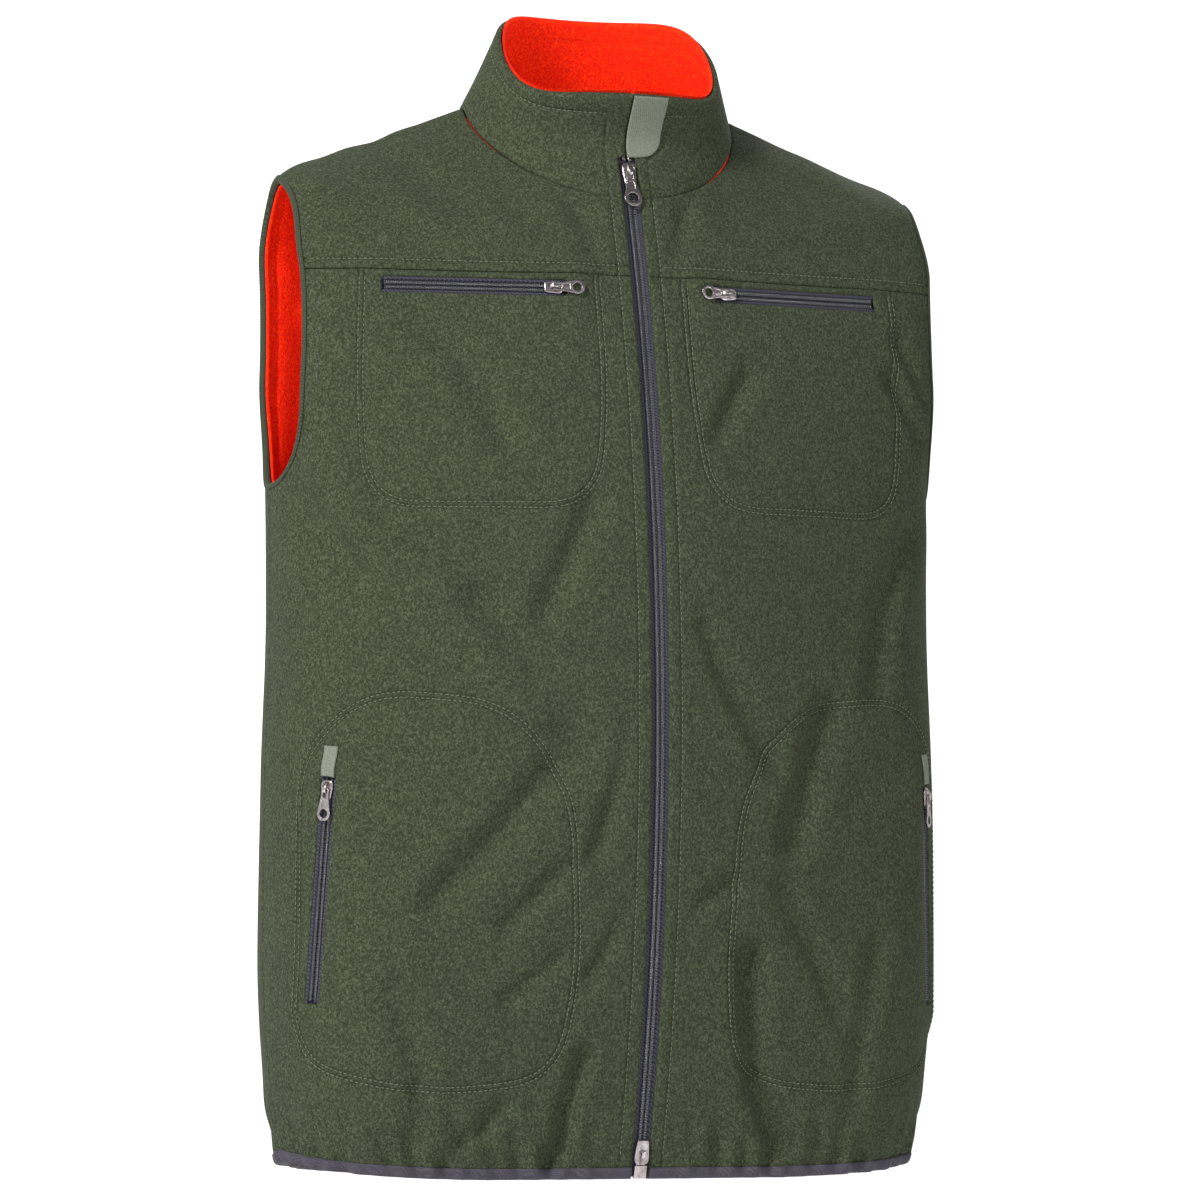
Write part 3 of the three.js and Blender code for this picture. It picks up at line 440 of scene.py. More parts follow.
def edge_y(z):
    """the front edge: on the zip's arc to its upper end, then leaning forward to the rim"""
    span = NECK_FRONT + COLLAR_FRONT - ARC_END
    s = np.clip((z - ARC_END) / span, 0, 1.05)
    r = 1 - s
    slope = (ARC_END - ARC_Z) / (ARC_Y - front_y(ARC_END))
    bent = (front_y(ARC_END) * (1 + 2 * s) * r * r + slope * span * s * r * r
            + RIM_FRONT_Y * s * s * (3 - 2 * s) - RIM_LEAN * span * s * s * r)
    return np.where(z <= ARC_END, front_y(z), bent)


def collar(t, w):
    t, w = np.broadcast_arrays(np.asarray(t, float), np.asarray(w, float))

    def slant(turn):
        low = body(turn, np.ones_like(turn))
        return low + (rim(turn) - low) * w[..., None]

    bow = edge_y(NECK_FRONT + COLLAR_FRONT * w) - slant(np.zeros_like(t))[..., 1]
    away = np.minimum(4 * np.abs(t - np.round(t)), 1)
    points = slant(t)
    points[..., 1] += bow * (1 - away ** 2) ** 2
    return points


def normals(surface, t, v):
    step = 1e-4
    at = np.clip(v, step, 1 - step)
    along = surface(t + step, at) - surface(t - step, at)
    up = surface(t, at + step) - surface(t, at - step)
    out = np.cross(along, up)
    return out / np.linalg.norm(out, axis=-1, keepdims=True)


def to_metres(points):
    return (np.asarray(points) - (0, 0, BACK_LENGTH)) * MM


def smooth(x):
    x = np.clip(x, 0, 1)
    return x * x * (3 - 2 * x)


def station_at(t, height):
    """the station where the surface at turn t reaches a height"""
    low, high = np.zeros_like(t), np.ones_like(t)
    for _ in range(30):
        middle = (low + high) / 2
        under = body(t, middle)[..., 2] < height
        low, high = np.where(under, middle, low), np.where(under, high, middle)
    return (low + high) / 2


def turn_at(x, v):
    """the turn on the front where the surface at station v reaches an x, on either side"""
    low, high = np.zeros_like(v), np.full_like(v, 0.25)
    for _ in range(30):
        middle = (low + high) / 2
        under = body(middle, v)[..., 0] < np.abs(x)
        low, high = np.where(under, middle, low), np.where(under, high, middle)
    return np.sign(x) * (low + high) / 2


girth = np.linalg.norm(np.diff(body(np.linspace(0, 1, 401), 0.5), axis=0), axis=1).sum()
print("girth at the waist", round(girth), "mm")

# %% [markdown]
# ## Where the zips are
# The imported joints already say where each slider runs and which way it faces. A slider's own axes,
# x across, y towards the closed end and z out of the cloth, are built from its joint, so that the
# cloth, the tape and the metal all agree with the motion.

# %% Zip axes from the joints
PULL_LIFT = 1.8485          # pull's axis above the fleece
TOP_SLIDER, POCKET_SLIDER = 16.0, 12.0
PARKED_GAP = 0.3
WINDOW_HALF = 5.2           # half the slit that a pocket zip shows in
COIL_END = 2.5
BOTTOM_SLIDER_HEIGHT = 17.0


def unit(vector):
    vector = np.asarray(vector, float)
    return vector / np.linalg.norm(vector)


def axes_matrix(origin, x, y, z):
    """a 4 by 4 frame, origin in metres"""
    placed = np.eye(4)
    placed[:3, 0], placed[:3, 1], placed[:3, 2], placed[:3, 3] = x, y, z, origin
    return placed


def moved(placed, x=0.0, y=0.0, z=0.0):
    shifted = placed.copy()
    shifted[:3, 3] += (placed[:3, 0] * x + placed[:3, 1] * y + placed[:3, 2] * z) * MM
    return shifted


def into(placed, points):
    """points in metres seen from a frame, in millimetres"""
    return (points - placed[:3, 3]) @ placed[:3, :3] / MM


def out_of(placed, points):
    return np.asarray(points, float) * MM @ placed[:3, :3].T + placed[:3, 3]


pocket_zips = {}
for place in ("chest", "hand"):
    for side in ("right", "left"):
        swing, run = joints[f"{place}_{side}_pull_swing"], joints[f"{place}_{side}_slider_run"]
        across = unit(swing["axis"]) * (1 if place == "chest" else -1)
        up = -unit(run["axis"])
        pivot = axes_matrix(swing["pos_m"], across, up, np.cross(across, up))
        origin = moved(pivot, y=POCKET_SLIDER / 2 + PARKED_GAP, z=-PULL_LIFT)
        tape = frame["nodes"][f"{place}_{side}_zip_tape"].data.vertices
        ends = into(origin, np.array([vertex.co for vertex in tape]))[:, 1]
        pocket_zips[f"{place}_{side}"] = {
            "frame": origin, "pivot": pivot, "length": -ends.min() - ends.max(), "tape_end": ends.max()}
for name, zip_ in pocket_zips.items():
    print(name, "zip", round(zip_["length"], 1), "mm long")


def arc_frame(height):
    """axes on the front edge's arc at a height"""
    point = np.array([0, front_y(height), height])
    out = unit([0, point[1] - ARC_Y, height - ARC_Z])
    return axes_matrix(to_metres(point), (1, 0, 0), (0, out[2], -out[1]), out)


top_pivot = np.array(joints["top_pull_swing"]["pos_m"])
arc_axis = np.array(joints["top_slider_run"]["pos_m"])
top_out = unit((top_pivot - arc_axis) * (0, 1, 1))
top_pull_frame = axes_matrix(top_pivot, (1, 0, 0), (0, top_out[2], -top_out[1]), top_out)
top_frame = moved(top_pull_frame, z=-PULL_LIFT)
bottom_frame = arc_frame(BOTTOM_SLIDER_HEIGHT)
bottom_frame[:3, :2] *= -1
print("top slider at z", round(top_frame[2, 3], 4), "m")

# %% [markdown]
# ## Folds, gathers and wrinkles
# Worn fleece is never smooth. Soft folds fall from the chest and armholes, the elastic gathers the
# hem, and the shoulders wrinkle a little. A cloth simulation could find such folds, but not these
# ones, so each fold is given as a line with a width and a depth, and all layers share them:
# that keeps the lining, the pocket bags and the fleece from passing through each other. Near a zip
# the folds fade out, because the zip holds the cloth flat.

# %% Soft folds
# each fold: width, depth (negative sinks), then the places it runs through, as x and height
FRONT_FOLDS = [
    (13, -3.6, (-41, 431), (-58, 395), (-76, 358)),
    (10, -3.2, (-14, 297), (-24, 255), (-42, 208)),
    (15, -4.4, (-74, 256), (-102, 220), (-141, 178)),
    (20, -4.0, (-116, 364), (-88, 322), (-56, 272)),
    (18, 3.4, (-212, 456), (-186, 410), (-134, 372), (-76, 300)),
    (10, -2.6, (-62, 197), (-99, 160)),
    (9, -2.6, (-20, 166), (-42, 130)),
    (10, -2.2, (-62, 141), (-95, 115)),
    (9, -4.2, (-44, 80), (-52, 48), (-58, 12)),
    (14, -3.6, (-219, 440), (-204, 410), (-192, 388)),
    (9, -2.8, (-96, 46), (-118, 24)),
    (11, -3.0, (72, 518), (60, 500), (46, 476)),
    (12, -3.2, (30, 353), (52, 312), (82, 264)),
    (16, -4.4, (122, 300), (108, 262), (96, 216)),
    (10, -2.8, (48, 188), (22, 170)),
    (12, -3.0, (88, 188), (112, 150), (134, 106)),
    (13, -6.2, (67, 142), (70, 96), (78, 58), (98, 20)),
    (9, -2.8, (180, 522), (206, 486)),
    (8, -2.4, (186, 552), (212, 508)),
    (10, -2.0, (38, 626), (24, 598)),
    (11, -2.2, (-40, 628), (-28, 600)),
    (14, -3.0, (196, 420), (168, 370), (160, 320)),
    (12, -2.4, (-160, 560), (-120, 520), (-96, 470)),
    (12, -2.4, (160, 150), (150, 90), (146, 40)),
    (11, -2.6, (-168, 120), (-150, 66), (-150, 26)),
]
BACK_FOLDS = [
    (16, -4.2, (-120, 430), (-70, 380), (-20, 350)),
    (16, -4.0, (130, 440), (80, 396), (40, 372)),
    (18, 3.0, (-170, 400), (-110, 340), (-60, 318)),
    (15, -4.4, (-60, 270), (-90, 200), (-96, 120)),
    (15, -4.4, (70, 290), (96, 220), (92, 130)),
    (13, -3.6, (10, 240), (4, 160), (12, 70)),
    (11, -3.0, (-150, 180), (-142, 100), (-150, 30)),
    (11, -3.0, (150, 190), (140, 96), (148, 26)),
    (14, -3.0, (-180, 560), (-130, 520), (-100, 470)),
    (14, -3.0, (180, 566), (130, 528), (104, 480)),
    (20, -2.6, (-60, 580), (0, 560), (60, 582)),
]


def distance_to(line, points):
    """shortest way from each point to a line of short straight pieces"""
    best = np.full(len(points), 1e9)
    for a, b in zip(line[:-1], line[1:]):
        ab = b - a
        share = np.clip((points - a) @ ab / max(ab @ ab, 1e-9), 0, 1)
        gap = points - a - share[:, None] * ab
        best = np.minimum(best, np.einsum("ij,ij->i", gap, gap))
    return np.sqrt(best)


def fold_height(folds, x, height):
    """a sunk line with low shoulders beside it, as cloth buckles"""
    total = np.zeros(len(x))
    flat = np.stack([x, height], -1)
    for width, depth, *places in folds:
        far = distance_to(np.array(places, float), flat) / width
        total += depth * (1 - 0.9 * far ** 2) * np.exp(-far ** 2)
    return total


FOLD_GAIN, GATHER_HEIGHT = 1.6, 1.9


def gathers(t, rise):
    """ripples that the hem elastic draws up, strongest at the binding"""
    lean = 0.00022 * rise
    wave = (np.cos(2 * math.pi * 61 * (t + lean) + 1.1) + 0.7 * np.cos(2 * math.pi * 47 * (t - lean) + 2.7)
            + 0.6 * np.cos(2 * math.pi * 29 * t + 0.4))
    return GATHER_HEIGHT * wave * np.exp(-(np.maximum(rise - 4, 0) / 30) ** 1.6)


# the armhole is a squarish oval: its middle and half sizes in turns and stations
ARMHOLE_TURN, ARMHOLE_STATION = 0.25, 0.725
ARMHOLE_WIDE, ARMHOLE_HIGH = 0.047, 0.135
ARMHOLE_SQUARE = 0.87


def armhole_share(t, v):
    """1 on the armhole's edge, more outside it, less inside"""
    across = np.abs(np.abs(t - np.round(t)) - ARMHOLE_TURN) / ARMHOLE_WIDE
    along = np.abs(v - ARMHOLE_STATION) / ARMHOLE_HIGH
    power = 2 / ARMHOLE_SQUARE
    return (across ** power + along ** power) ** (1 / power)


def drape(t, v):
    """how far the folds move the cloth out, in millimetres"""
    points = body(t, v)
    x, y, height = points[:, 0], points[:, 1], points[:, 2]
    in_front = y < 5
    folds = np.where(in_front, fold_height(FRONT_FOLDS, x, height), fold_height(BACK_FOLDS, x, height))
    near_side = smooth((np.abs(y - 5)) / 45)
    ripples = gathers(t, height - body(t, np.zeros_like(t))[:, 2])
    zip_holds = np.where(in_front, smooth((np.abs(x) - 15) / 24), 1)
    calm_neck = smooth((1 - v) / 0.06)
    shoulder = 0.7 * np.cos(x / 7.5 + height / 11) * smooth((v - 0.82) / 0.05) * smooth((0.985 - v) / 0.05)
    held = smooth((armhole_share(t, v) - 1) / 0.35)
    return (FOLD_GAIN * folds * near_side * held + ripples + shoulder * held) * zip_holds * calm_neck


ZIP_HOLD_REACH = 22         # the cloth is free of a pocket zip this far from its slit
ZIP_OWN_SIDE = 30           # farther out of the cloth than this lies another panel


def pocket_hold(points):
    """share with which each pocket zip holds the cloth, and how far the cloth stands off it"""
    held, lift = np.zeros(len(points)), np.zeros(len(points))
    for zip_ in pocket_zips.values():
        local = into(zip_["frame"], points)
        dx = np.maximum(np.abs(local[:, 0]) - WINDOW_HALF - 3, 0)
        dy = np.maximum(np.maximum(-zip_["length"] - 4 - local[:, 1], local[:, 1] - COIL_END - 4), 0)
        share = smooth(1 - np.hypot(dx, dy) / ZIP_HOLD_REACH) * (np.abs(local[:, 2]) < ZIP_OWN_SIDE)
        held = held + share
        lift = lift + share * local[:, 2]
    return held, lift


def lay(surface, t, v, depth):
    """points in metres at a depth under the cloth's outer face, folds and zips included"""
    t, v = np.asarray(t, float), np.asarray(v, float)
    base, out = surface(t, v), normals(surface, t, v)
    if surface is body:
        held, lift = pocket_hold(to_metres(base))
        swell = (1 - held) * drape(t, v) - lift
    else:
        swell = 0.0
    return to_metres(base + out * np.reshape(swell - depth, (-1, 1)))


print(len(FRONT_FOLDS) + len(BACK_FOLDS), "folds placed by hand")

# %% [markdown]
# ## Cutting cloth
# A panel starts as a plain grid of small triangles on the surface, and is then cut as a tailor cuts:
# each seam, armhole and zip slit is a function that is positive on the cloth to keep, and `cut`
# divides the triangles exactly along its zero line. The same tool scores extra lines beside each
# edge and each row of stitching, so that the edge can roll under and the stitches can sink in.

# %% Splitting triangles along a line
def split(places, triangles, values):
    """divides every triangle that the line values = 0 crosses"""
    values = np.where(np.abs(values) < 1e-7, 0, values)
    sign = np.sign(values)
    corner = sign[triangles]
    crossed = (corner.min(1) < 0) & (corner.max(1) > 0)
    kept, added, made = [triangles[~crossed]], [], {}

    def middle(a, b):
        key = (a, b) if a < b else (b, a)
        if key not in made:
            share = values[a] / (values[a] - values[b])
            made[key] = len(places) + len(made)
            added.append(places[a] + (places[b] - places[a]) * share)
        return made[key]

    fresh = []
    for a, b, c in triangles[crossed].tolist():
        for _ in range(3):
            if sign[a] == 0 and sign[b] * sign[c] < 0:
                m = middle(b, c)
                fresh += [(a, b, m), (a, m, c)]
                break
            if sign[a] * sign[b] < 0 and sign[a] * sign[c] < 0:
                p, q = middle(a, b), middle(a, c)
                fresh += [(a, p, q), (p, b, c), (p, c, q)]
                break
            a, b, c = b, c, a
    if fresh:
        kept.append(np.array(fresh))
        places = np.vstack([places, np.array(added)])
    return places, np.vstack(kept)


def cloth_grid(t0, t1, v0, v1, across, up):
    """a grid of places (t, v) and its triangles, about the given spacing apart"""
    t, v = np.linspace(t0, t1, across + 1), np.linspace(v0, v1, up + 1)
    places = np.stack(np.meshgrid(t, v, indexing="ij"), -1).reshape(-1, 2)
    i, j = np.meshgrid(np.arange(across), np.arange(up), indexing="ij")
    a = (i * (up + 1) + j).ravel()
    b, c, d = a + up + 1, a + up + 2, a + 1
    return places, np.vstack([np.stack([a, b, c], 1), np.stack([a, c, d], 1)])


def used_only(places, triangles):
    used, again = np.unique(triangles, return_inverse=True)
    return places[used], again.reshape(-1, 3)


def cut(places, triangles, edge, rolls):
    """keeps the cloth where edge(places) > 0, after scoring it along the roll lines"""
    for level in (0.0, *rolls):
        places, triangles = split(places, triangles, edge(places) - level)
    inside = edge(places[triangles].mean(1)) > 0
    return used_only(places, triangles[inside])


def score(places, triangles, line, levels):
    for level in levels:
        places, triangles = split(places, triangles, line(places) - level)
    return places, triangles


def edge_loop_pairs(triangles):
    """directed edges that belong to one triangle only"""
    edges = np.vstack([triangles[:, [0, 1]], triangles[:, [1, 2]], triangles[:, [2, 0]]])
    seen = {(a, b) for a, b in edges.tolist()}
    return np.array([(a, b) for a, b in seen if (b, a) not in seen])


def sheet_mesh(name, outer, inner, triangles, material):
    """a closed sheet: an outer face, an inner face and the rim between them"""
    count = len(outer)
    rim_edges = edge_loop_pairs(triangles)
    a, b = rim_edges[:, 0], rim_edges[:, 1]
    rim_faces = np.vstack([np.stack([b, a, a + count], 1), np.stack([b, a + count, b + count], 1)])
    faces = np.vstack([triangles, triangles[:, ::-1] + count, rim_faces])
    return mesh_object(name, np.vstack([outer, inner]), faces, material)


print("cutting tools ready")

# %% [markdown]
# ## Stitch lines and pocket outlines
# Two needles run side by side round each pocket bag and show outside as a rounded outline; single
# rows of topstitching run along the zip, above the yoke seam and below the collar's edge. An outline
# is a closed line of places on the front; its distance is negative inside, so it can be scored.

# %% Pocket outlines
def rounded_line(corners, radii, steps=7):
    """a closed or open line through corners, each rounded by its own radius"""
    corners = np.array(corners, float)
    count = len(corners)
    line = []
    for i, radius in enumerate(radii):
        here, before, after = corners[i], corners[i - 1], corners[(i + 1) % count]
        if radius == 0:
            line.append(here)
            continue
        a, b = unit(before - here), unit(after - here)
        reach = min(radius, 0.48 * np.linalg.norm(before - here), 0.48 * np.linalg.norm(after - here))
        start, end = here + a * reach, here + b * reach
        for s in np.linspace(0, 1, steps):
            line.append(start * (1 - s) ** 2 + here * 2 * s * (1 - s) + end * s * s)
    return np.array(line)


def resampled(line, step):
    gaps = np.linalg.norm(np.diff(line, axis=0), axis=1)
    along = np.concatenate([[0], np.cumsum(gaps)])
    marks = np.linspace(0, along[-1], max(2, int(along[-1] / step) + 1))
    return np.stack([np.interp(marks, along, line[:, k]) for k in range(line.shape[1])], -1)


YOKE_FRONT, YOKE_BACK = 581.0, 610.0
# x and height, for the wearer's left; the right side mirrors them
CHEST_POCKET = rounded_line(
    [(30, 602), (182, 602), (190, 500), (188, 429), (40, 429), (30, 500)], [0, 0, 40, 44, 44, 40])
HAND_POCKET = rounded_line(
    [(240, 266), (190, 310), (98, 302), (58, 246), (51, 130), (62, 64), (150, 54), (238, 76)],
    [30, 46, 50, 66, 44, 40, 60, 34])
pocket_outlines = {}
for side, sign in (("right", -1), ("left", 1)):
    pocket_outlines[f"chest_{side}"] = np.vstack([CHEST_POCKET, CHEST_POCKET[:1]]) * (sign, 1)
    pocket_outlines[f"hand_{side}"] = np.vstack([HAND_POCKET, HAND_POCKET[:1]]) * (sign, 1)


def section_length(v):
    """from the zip round to the side, along the cloth"""
    depth = column(v, 5) - front_y(column(v, 1))
    r = np.minimum(column(v, 7), 0.98 * np.minimum(column(v, 4), depth))
    a = column(v, 4)
    wide = (depth ** 2 + (a - r) ** 2 - r * r) / (2 * (depth - r))
    turn = np.arctan2(a - r, wide - depth)
    return wide * turn + r * (math.pi / 2 - turn)


def unrolled(t, v):
    """the front laid flat: the way round from the zip along the cloth, and the height"""
    return np.stack([t / 0.25 * section_length(v), body(t, v)[:, 2]], -1)


def rolled_up(flat):
    """turns and stations of places on the front laid flat"""
    way, height = np.asarray(flat, float).T
    t = way / 270 * 0.25
    for _ in range(8):
        v = station_at(t, height)
        t = way / section_length(v) * 0.25
    return np.stack([t, v], -1)


def inside(line, points):
    """true where a point lies within a closed line"""
    x, y = points[:, 0], points[:, 1]
    within = np.zeros(len(points), bool)
    for (x1, y1), (x2, y2) in zip(line[:-1], line[1:]):
        if y1 == y2:
            continue
        crosses = ((y1 > y) != (y2 > y)) & (x < (x2 - x1) * (y - y1) / (y2 - y1) + x1)
        within ^= crosses
    return within


def outline_distance(name):
    line = resampled(pocket_outlines[name], 6.0)

    def measure(places):
        flat = unrolled(places[:, 0], places[:, 1])
        far = distance_to(line, flat)
        return np.where(inside(line, flat), -far, far)

    return measure


print({name: len(line) for name, line in pocket_outlines.items()})


# %% Edges and stitch rows as distances
STATION_PER_MM = 0.0014               # near the hem
HEM_CLEAR = 2.2 * 0.07 / 50           # station of the cloth's raw edge inside the hem binding
SEAM_HALF = 0.03
FAR_AWAY = 99.0                       # the distance given where an edge does not reach
ZIP_EDGE, LINING_ZIP_EDGE = 5.7, 7.5
SIDE_SEAM_Y = 3.0
ZIP_STITCH, YOKE_STITCH, RIM_STITCH = 14.5, 6.5, 11.5


def beside_zip(half):
    def measure(places):
        points = body(places[:, 0], places[:, 1])
        return np.where(points[:, 1] < 0, np.abs(points[:, 0]) - half, FAR_AWAY)
    return measure


def below_yoke(height):
    return lambda places: height - body(places[:, 0], places[:, 1])[:, 2]


def ahead_of_side(sign):
    """positive on the front's side of the side seam, or on the back's with sign -1"""
    return lambda places: sign * (SIDE_SEAM_Y - body(places[:, 0], places[:, 1])[:, 1]) - SEAM_HALF


def armhole_line(side, share=1.0, steps=120):
    angle = np.linspace(0, 2 * math.pi, steps, endpoint=False)
    c, s = np.cos(angle), np.sin(angle)
    t = side * (ARMHOLE_TURN + share * ARMHOLE_WIDE * np.sign(c) * np.abs(c) ** ARMHOLE_SQUARE)
    v = ARMHOLE_STATION + share * ARMHOLE_HIGH * np.sign(s) * np.abs(s) ** ARMHOLE_SQUARE
    return t, v


armhole_rings = []
for side in (1, -1):
    ring = body(*armhole_line(side))
    armhole_rings.append(np.vstack([ring, ring[:1]]))


def outside_armholes(places):
    points = body(places[:, 0], places[:, 1])
    far = np.full(len(places), 60.0)
    near = np.abs(points[:, 0]) > 130
    for ring in armhole_rings:
        far[near] = np.minimum(far[near], distance_to(ring, points[near]))
    return far * np.where(armhole_share(places[:, 0], places[:, 1]) < 1, -1, 1)


def outside_window(name):
    zip_ = pocket_zips[name]

    def measure(places):
        local = into(zip_["frame"], to_metres(body(places[:, 0], places[:, 1])))
        dx = np.abs(local[:, 0]) - WINDOW_HALF
        dy = np.maximum(-zip_["length"] - local[:, 1], local[:, 1] - COIL_END)
        out = np.hypot(np.maximum(dx, 0), np.maximum(dy, 0)) + np.minimum(np.maximum(dx, dy), 0)
        return np.where(np.abs(local[:, 2]) < ZIP_OWN_SIDE, out, FAR_AWAY)

    return measure


def yoke_rise(places):
    """height above the yoke seam, which lies higher at the back than at the front"""
    points = body(places[:, 0], places[:, 1])
    return points[:, 2] - np.where(points[:, 1] < SIDE_SEAM_Y, YOKE_FRONT, YOKE_BACK)


print("edges and rows measured in millimetres")


# %% Rolled edges and sunk rows
def roll_off(distance, radius):
    """1 on the edge, falling to 0 a radius inside it along a quarter circle"""
    share = np.clip(1 - distance / radius, 0, 1)
    return 1 - np.sqrt(np.maximum(1 - share ** 2, 0))


def row_groove(distance, depth, width):
    return depth * np.exp(-(distance / width) ** 2)


TWIN_HALF = 1.7
TWIN_LEVELS = (-3.4, -2.3, -TWIN_HALF, -1.1, 0.0, 1.1, TWIN_HALF, 2.3, 3.4)
ROW_LEVELS = (-2.0, -0.9, 0.0, 0.9, 2.0)


def twin_rows(distance):
    """two sunk rows with the cloth standing a little proud between and beside them"""
    off = np.abs(np.abs(distance) - TWIN_HALF)
    pull = 0.7 * np.exp(-(distance / 8) ** 2)
    return pull + row_groove(off, 0.9, 0.8) - 0.5 * np.exp(-(distance / 1.1) ** 2)


def panel(name, grid, edges, rows, outlines, material, wall=2.0, surface=body, lift=0.0):
    """edges are (distance, roll radius, roll depth); rows are distances; outlines are twin rows"""
    places, triangles = cloth_grid(*grid)
    for edge, radius, _ in edges:
        places, triangles = cut(places, triangles, edge, (0.12 * radius, 0.45 * radius, radius))
    for row in rows:
        places, triangles = score(places, triangles, row, ROW_LEVELS)
    for outline in outlines:
        places, triangles = score(places, triangles, outline, TWIN_LEVELS)
    places, triangles = used_only(places, triangles)
    outer_depth, inner_depth = np.zeros(len(places)), np.full(len(places), float(wall))
    for edge, radius, depth in edges:
        share = roll_off(edge(places), radius)
        outer_depth = np.maximum(outer_depth, depth * share)
        inner_depth = np.where(share > 0, wall + (depth + 0.2 - wall) * share, inner_depth)
    for row in rows:
        outer_depth += row_groove(row(places), 1.0, 1.0)
    for outline in outlines:
        outer_depth += twin_rows(outline(places))
    outer_depth = np.minimum(outer_depth, inner_depth - 0.15)
    t, v = places.T
    return sheet_mesh(name, lay(surface, t, v, outer_depth - lift), lay(surface, t, v, inner_depth - lift),
                      triangles, material)


SPACING = 3.2


def grid_for(t0, t1, v0, v1, wide, high, spacing=None):
    """a grid that is wide by high millimetres when laid flat"""
    spacing = spacing or SPACING
    return t0, t1, v0, v1, max(4, round(wide / spacing)), max(2, round(high / spacing))


print("cloth drawn at", SPACING, "mm")

# %% [markdown]
# ## The olive shell
# The shell has five panels, as a pattern has: two fronts, a back, a yoke over both shoulders and a
# collar. Each is a closed sheet two millimetres thick whose edges roll under at the seams, so that
# a seam shows as a soft groove and the folded zip edges look plump.

# %% Front panels
SEAM_ROLL = (2.0, 1.5)
shell_zip_edge = (beside_zip(ZIP_EDGE), 2.6, 1.9)
shell_armhole_edge = (outside_armholes, 1.5, 1.0)
for side, sign in (("right", -1), ("left", 1)):
    windows = [(outside_window(f"{place}_{side}"), 1.5, 1.8) for place in ("chest", "hand")]
    edges = [
        shell_zip_edge,
        (below_yoke(YOKE_FRONT - SEAM_HALF), *SEAM_ROLL),
        (ahead_of_side(1), *SEAM_ROLL),
        shell_armhole_edge,
        *windows,
    ]
    rows = [beside_zip(ZIP_STITCH)]
    outlines = [outline_distance(f"{place}_{side}") for place in ("chest", "hand")]
    turns = (0.0, 0.262) if sign > 0 else (-0.262, 0.0)
    front = panel(f"front_{side}_fleece", grid_for(*turns, HEM_CLEAR, 0.80, 330, 585),
                  edges, rows, outlines, olive_fleece)
    finish_piece(front, "garment", [f"front_{side}_shell"])
    print(front.name, len(front.data.polygons), "faces")

# %% Back panel
back = panel("back_fleece", grid_for(0.238, 0.762, HEM_CLEAR, 0.84, 600, 615),
             [(below_yoke(YOKE_BACK - SEAM_HALF), *SEAM_ROLL), (ahead_of_side(-1), *SEAM_ROLL),
              shell_armhole_edge], [], [], olive_fleece)
finish_piece(back, "garment", ["back_shell"])
print(back.name, len(back.data.polygons), "faces")

# %% Yoke
neck_ring = body(np.linspace(0, 1, 161), 1.0)


def above_yoke_seam(places):
    return yoke_rise(places) - SEAM_HALF


def yoke_stitch(places):
    return yoke_rise(places) - YOKE_STITCH


def below_neck(places):
    points = body(places[:, 0], places[:, 1])
    far = np.full(len(places), 40.0)
    near = places[:, 1] > 0.9
    far[near] = distance_to(neck_ring, points[near])
    return far


yoke = panel("yoke_fleece", grid_for(0.0, 1.0, 0.765, 1.0, 1150, 170),
             [shell_zip_edge, (above_yoke_seam, *SEAM_ROLL), shell_armhole_edge, (below_neck, 2.0, 1.2)],
             [yoke_stitch, beside_zip(ZIP_STITCH)], [], olive_fleece)
finish_piece(yoke, "garment", ["yoke_shell"])
print(yoke.name, len(yoke.data.polygons), "faces")

# %% Collar
COLLAR_HIGH = 65.0          # along the cloth, from neck seam to rim
GUARD_FOOT = 663.4          # the lining's front edges run together just above this height
RIM_RADIUS, RIM_ROLL = 3.4, 3.0
NECK_LAP = 0.02             # share of the collar's height that runs on below the neck line
EDGE_CLOSES, EDGE_BLEND = 660.8, 2.2     # height where the front edges run together, and over how much


def collar_front_edge(places):
    points = collar(places[:, 0], places[:, 1])
    x, height = points[:, 0], points[:, 2]
    edge = ZIP_EDGE - (ZIP_EDGE + 0.05) * smooth((height - EDGE_CLOSES) / EDGE_BLEND)
    return np.where(points[:, 1] > 0, FAR_AWAY, np.abs(x) - edge)


def below_rim(places):
    return (1 - places[:, 1]) * COLLAR_HIGH


def above_neck(places):
    return (places[:, 1] + NECK_LAP) * COLLAR_HIGH


def collar_row(places):
    """the row of stitching follows the rim, then turns down beside the zip"""
    points = collar(places[:, 0], places[:, 1])
    a = below_rim(places) - RIM_STITCH
    b = np.where(points[:, 1] < 0, np.abs(points[:, 0]) - ZIP_STITCH, FAR_AWAY)
    corner = 7.0
    rounded = corner - np.hypot(corner - a, corner - b)
    return np.where((a < corner) & (b < corner), rounded, np.minimum(a, b))


collar_shell = panel("collar_fleece", grid_for(0.0, 1.0, -NECK_LAP, 1.0, 470, 66, SPACING * 0.8),
                     [(collar_front_edge, 2.4, 1.8), (below_rim, RIM_RADIUS, RIM_ROLL),
                      (above_neck, 3.6, 3.0)],
                     [collar_row], [], olive_fleece, surface=collar)
finish_piece(collar_shell, "garment", ["collar_shell"])
print(collar_shell.name, len(collar_shell.data.polygons), "faces")

# %% [markdown]
# ## The orange lining
# The vest turns inside out, so the lining is a second garment as good as the first: two fronts, a
# back and a collar of orange fleece. It hangs a few millimetres inside the shell, where the pocket
# bags need room, and comes up close under it at the armholes, hem and neck, where both layers are
# bound together. At the zip its edge turns out to meet the tape.

# %% How deep the lining lies
LINING_DEEP, LINING_CLOSE, LINING_WALL = 8.5, 4.6, 1.8


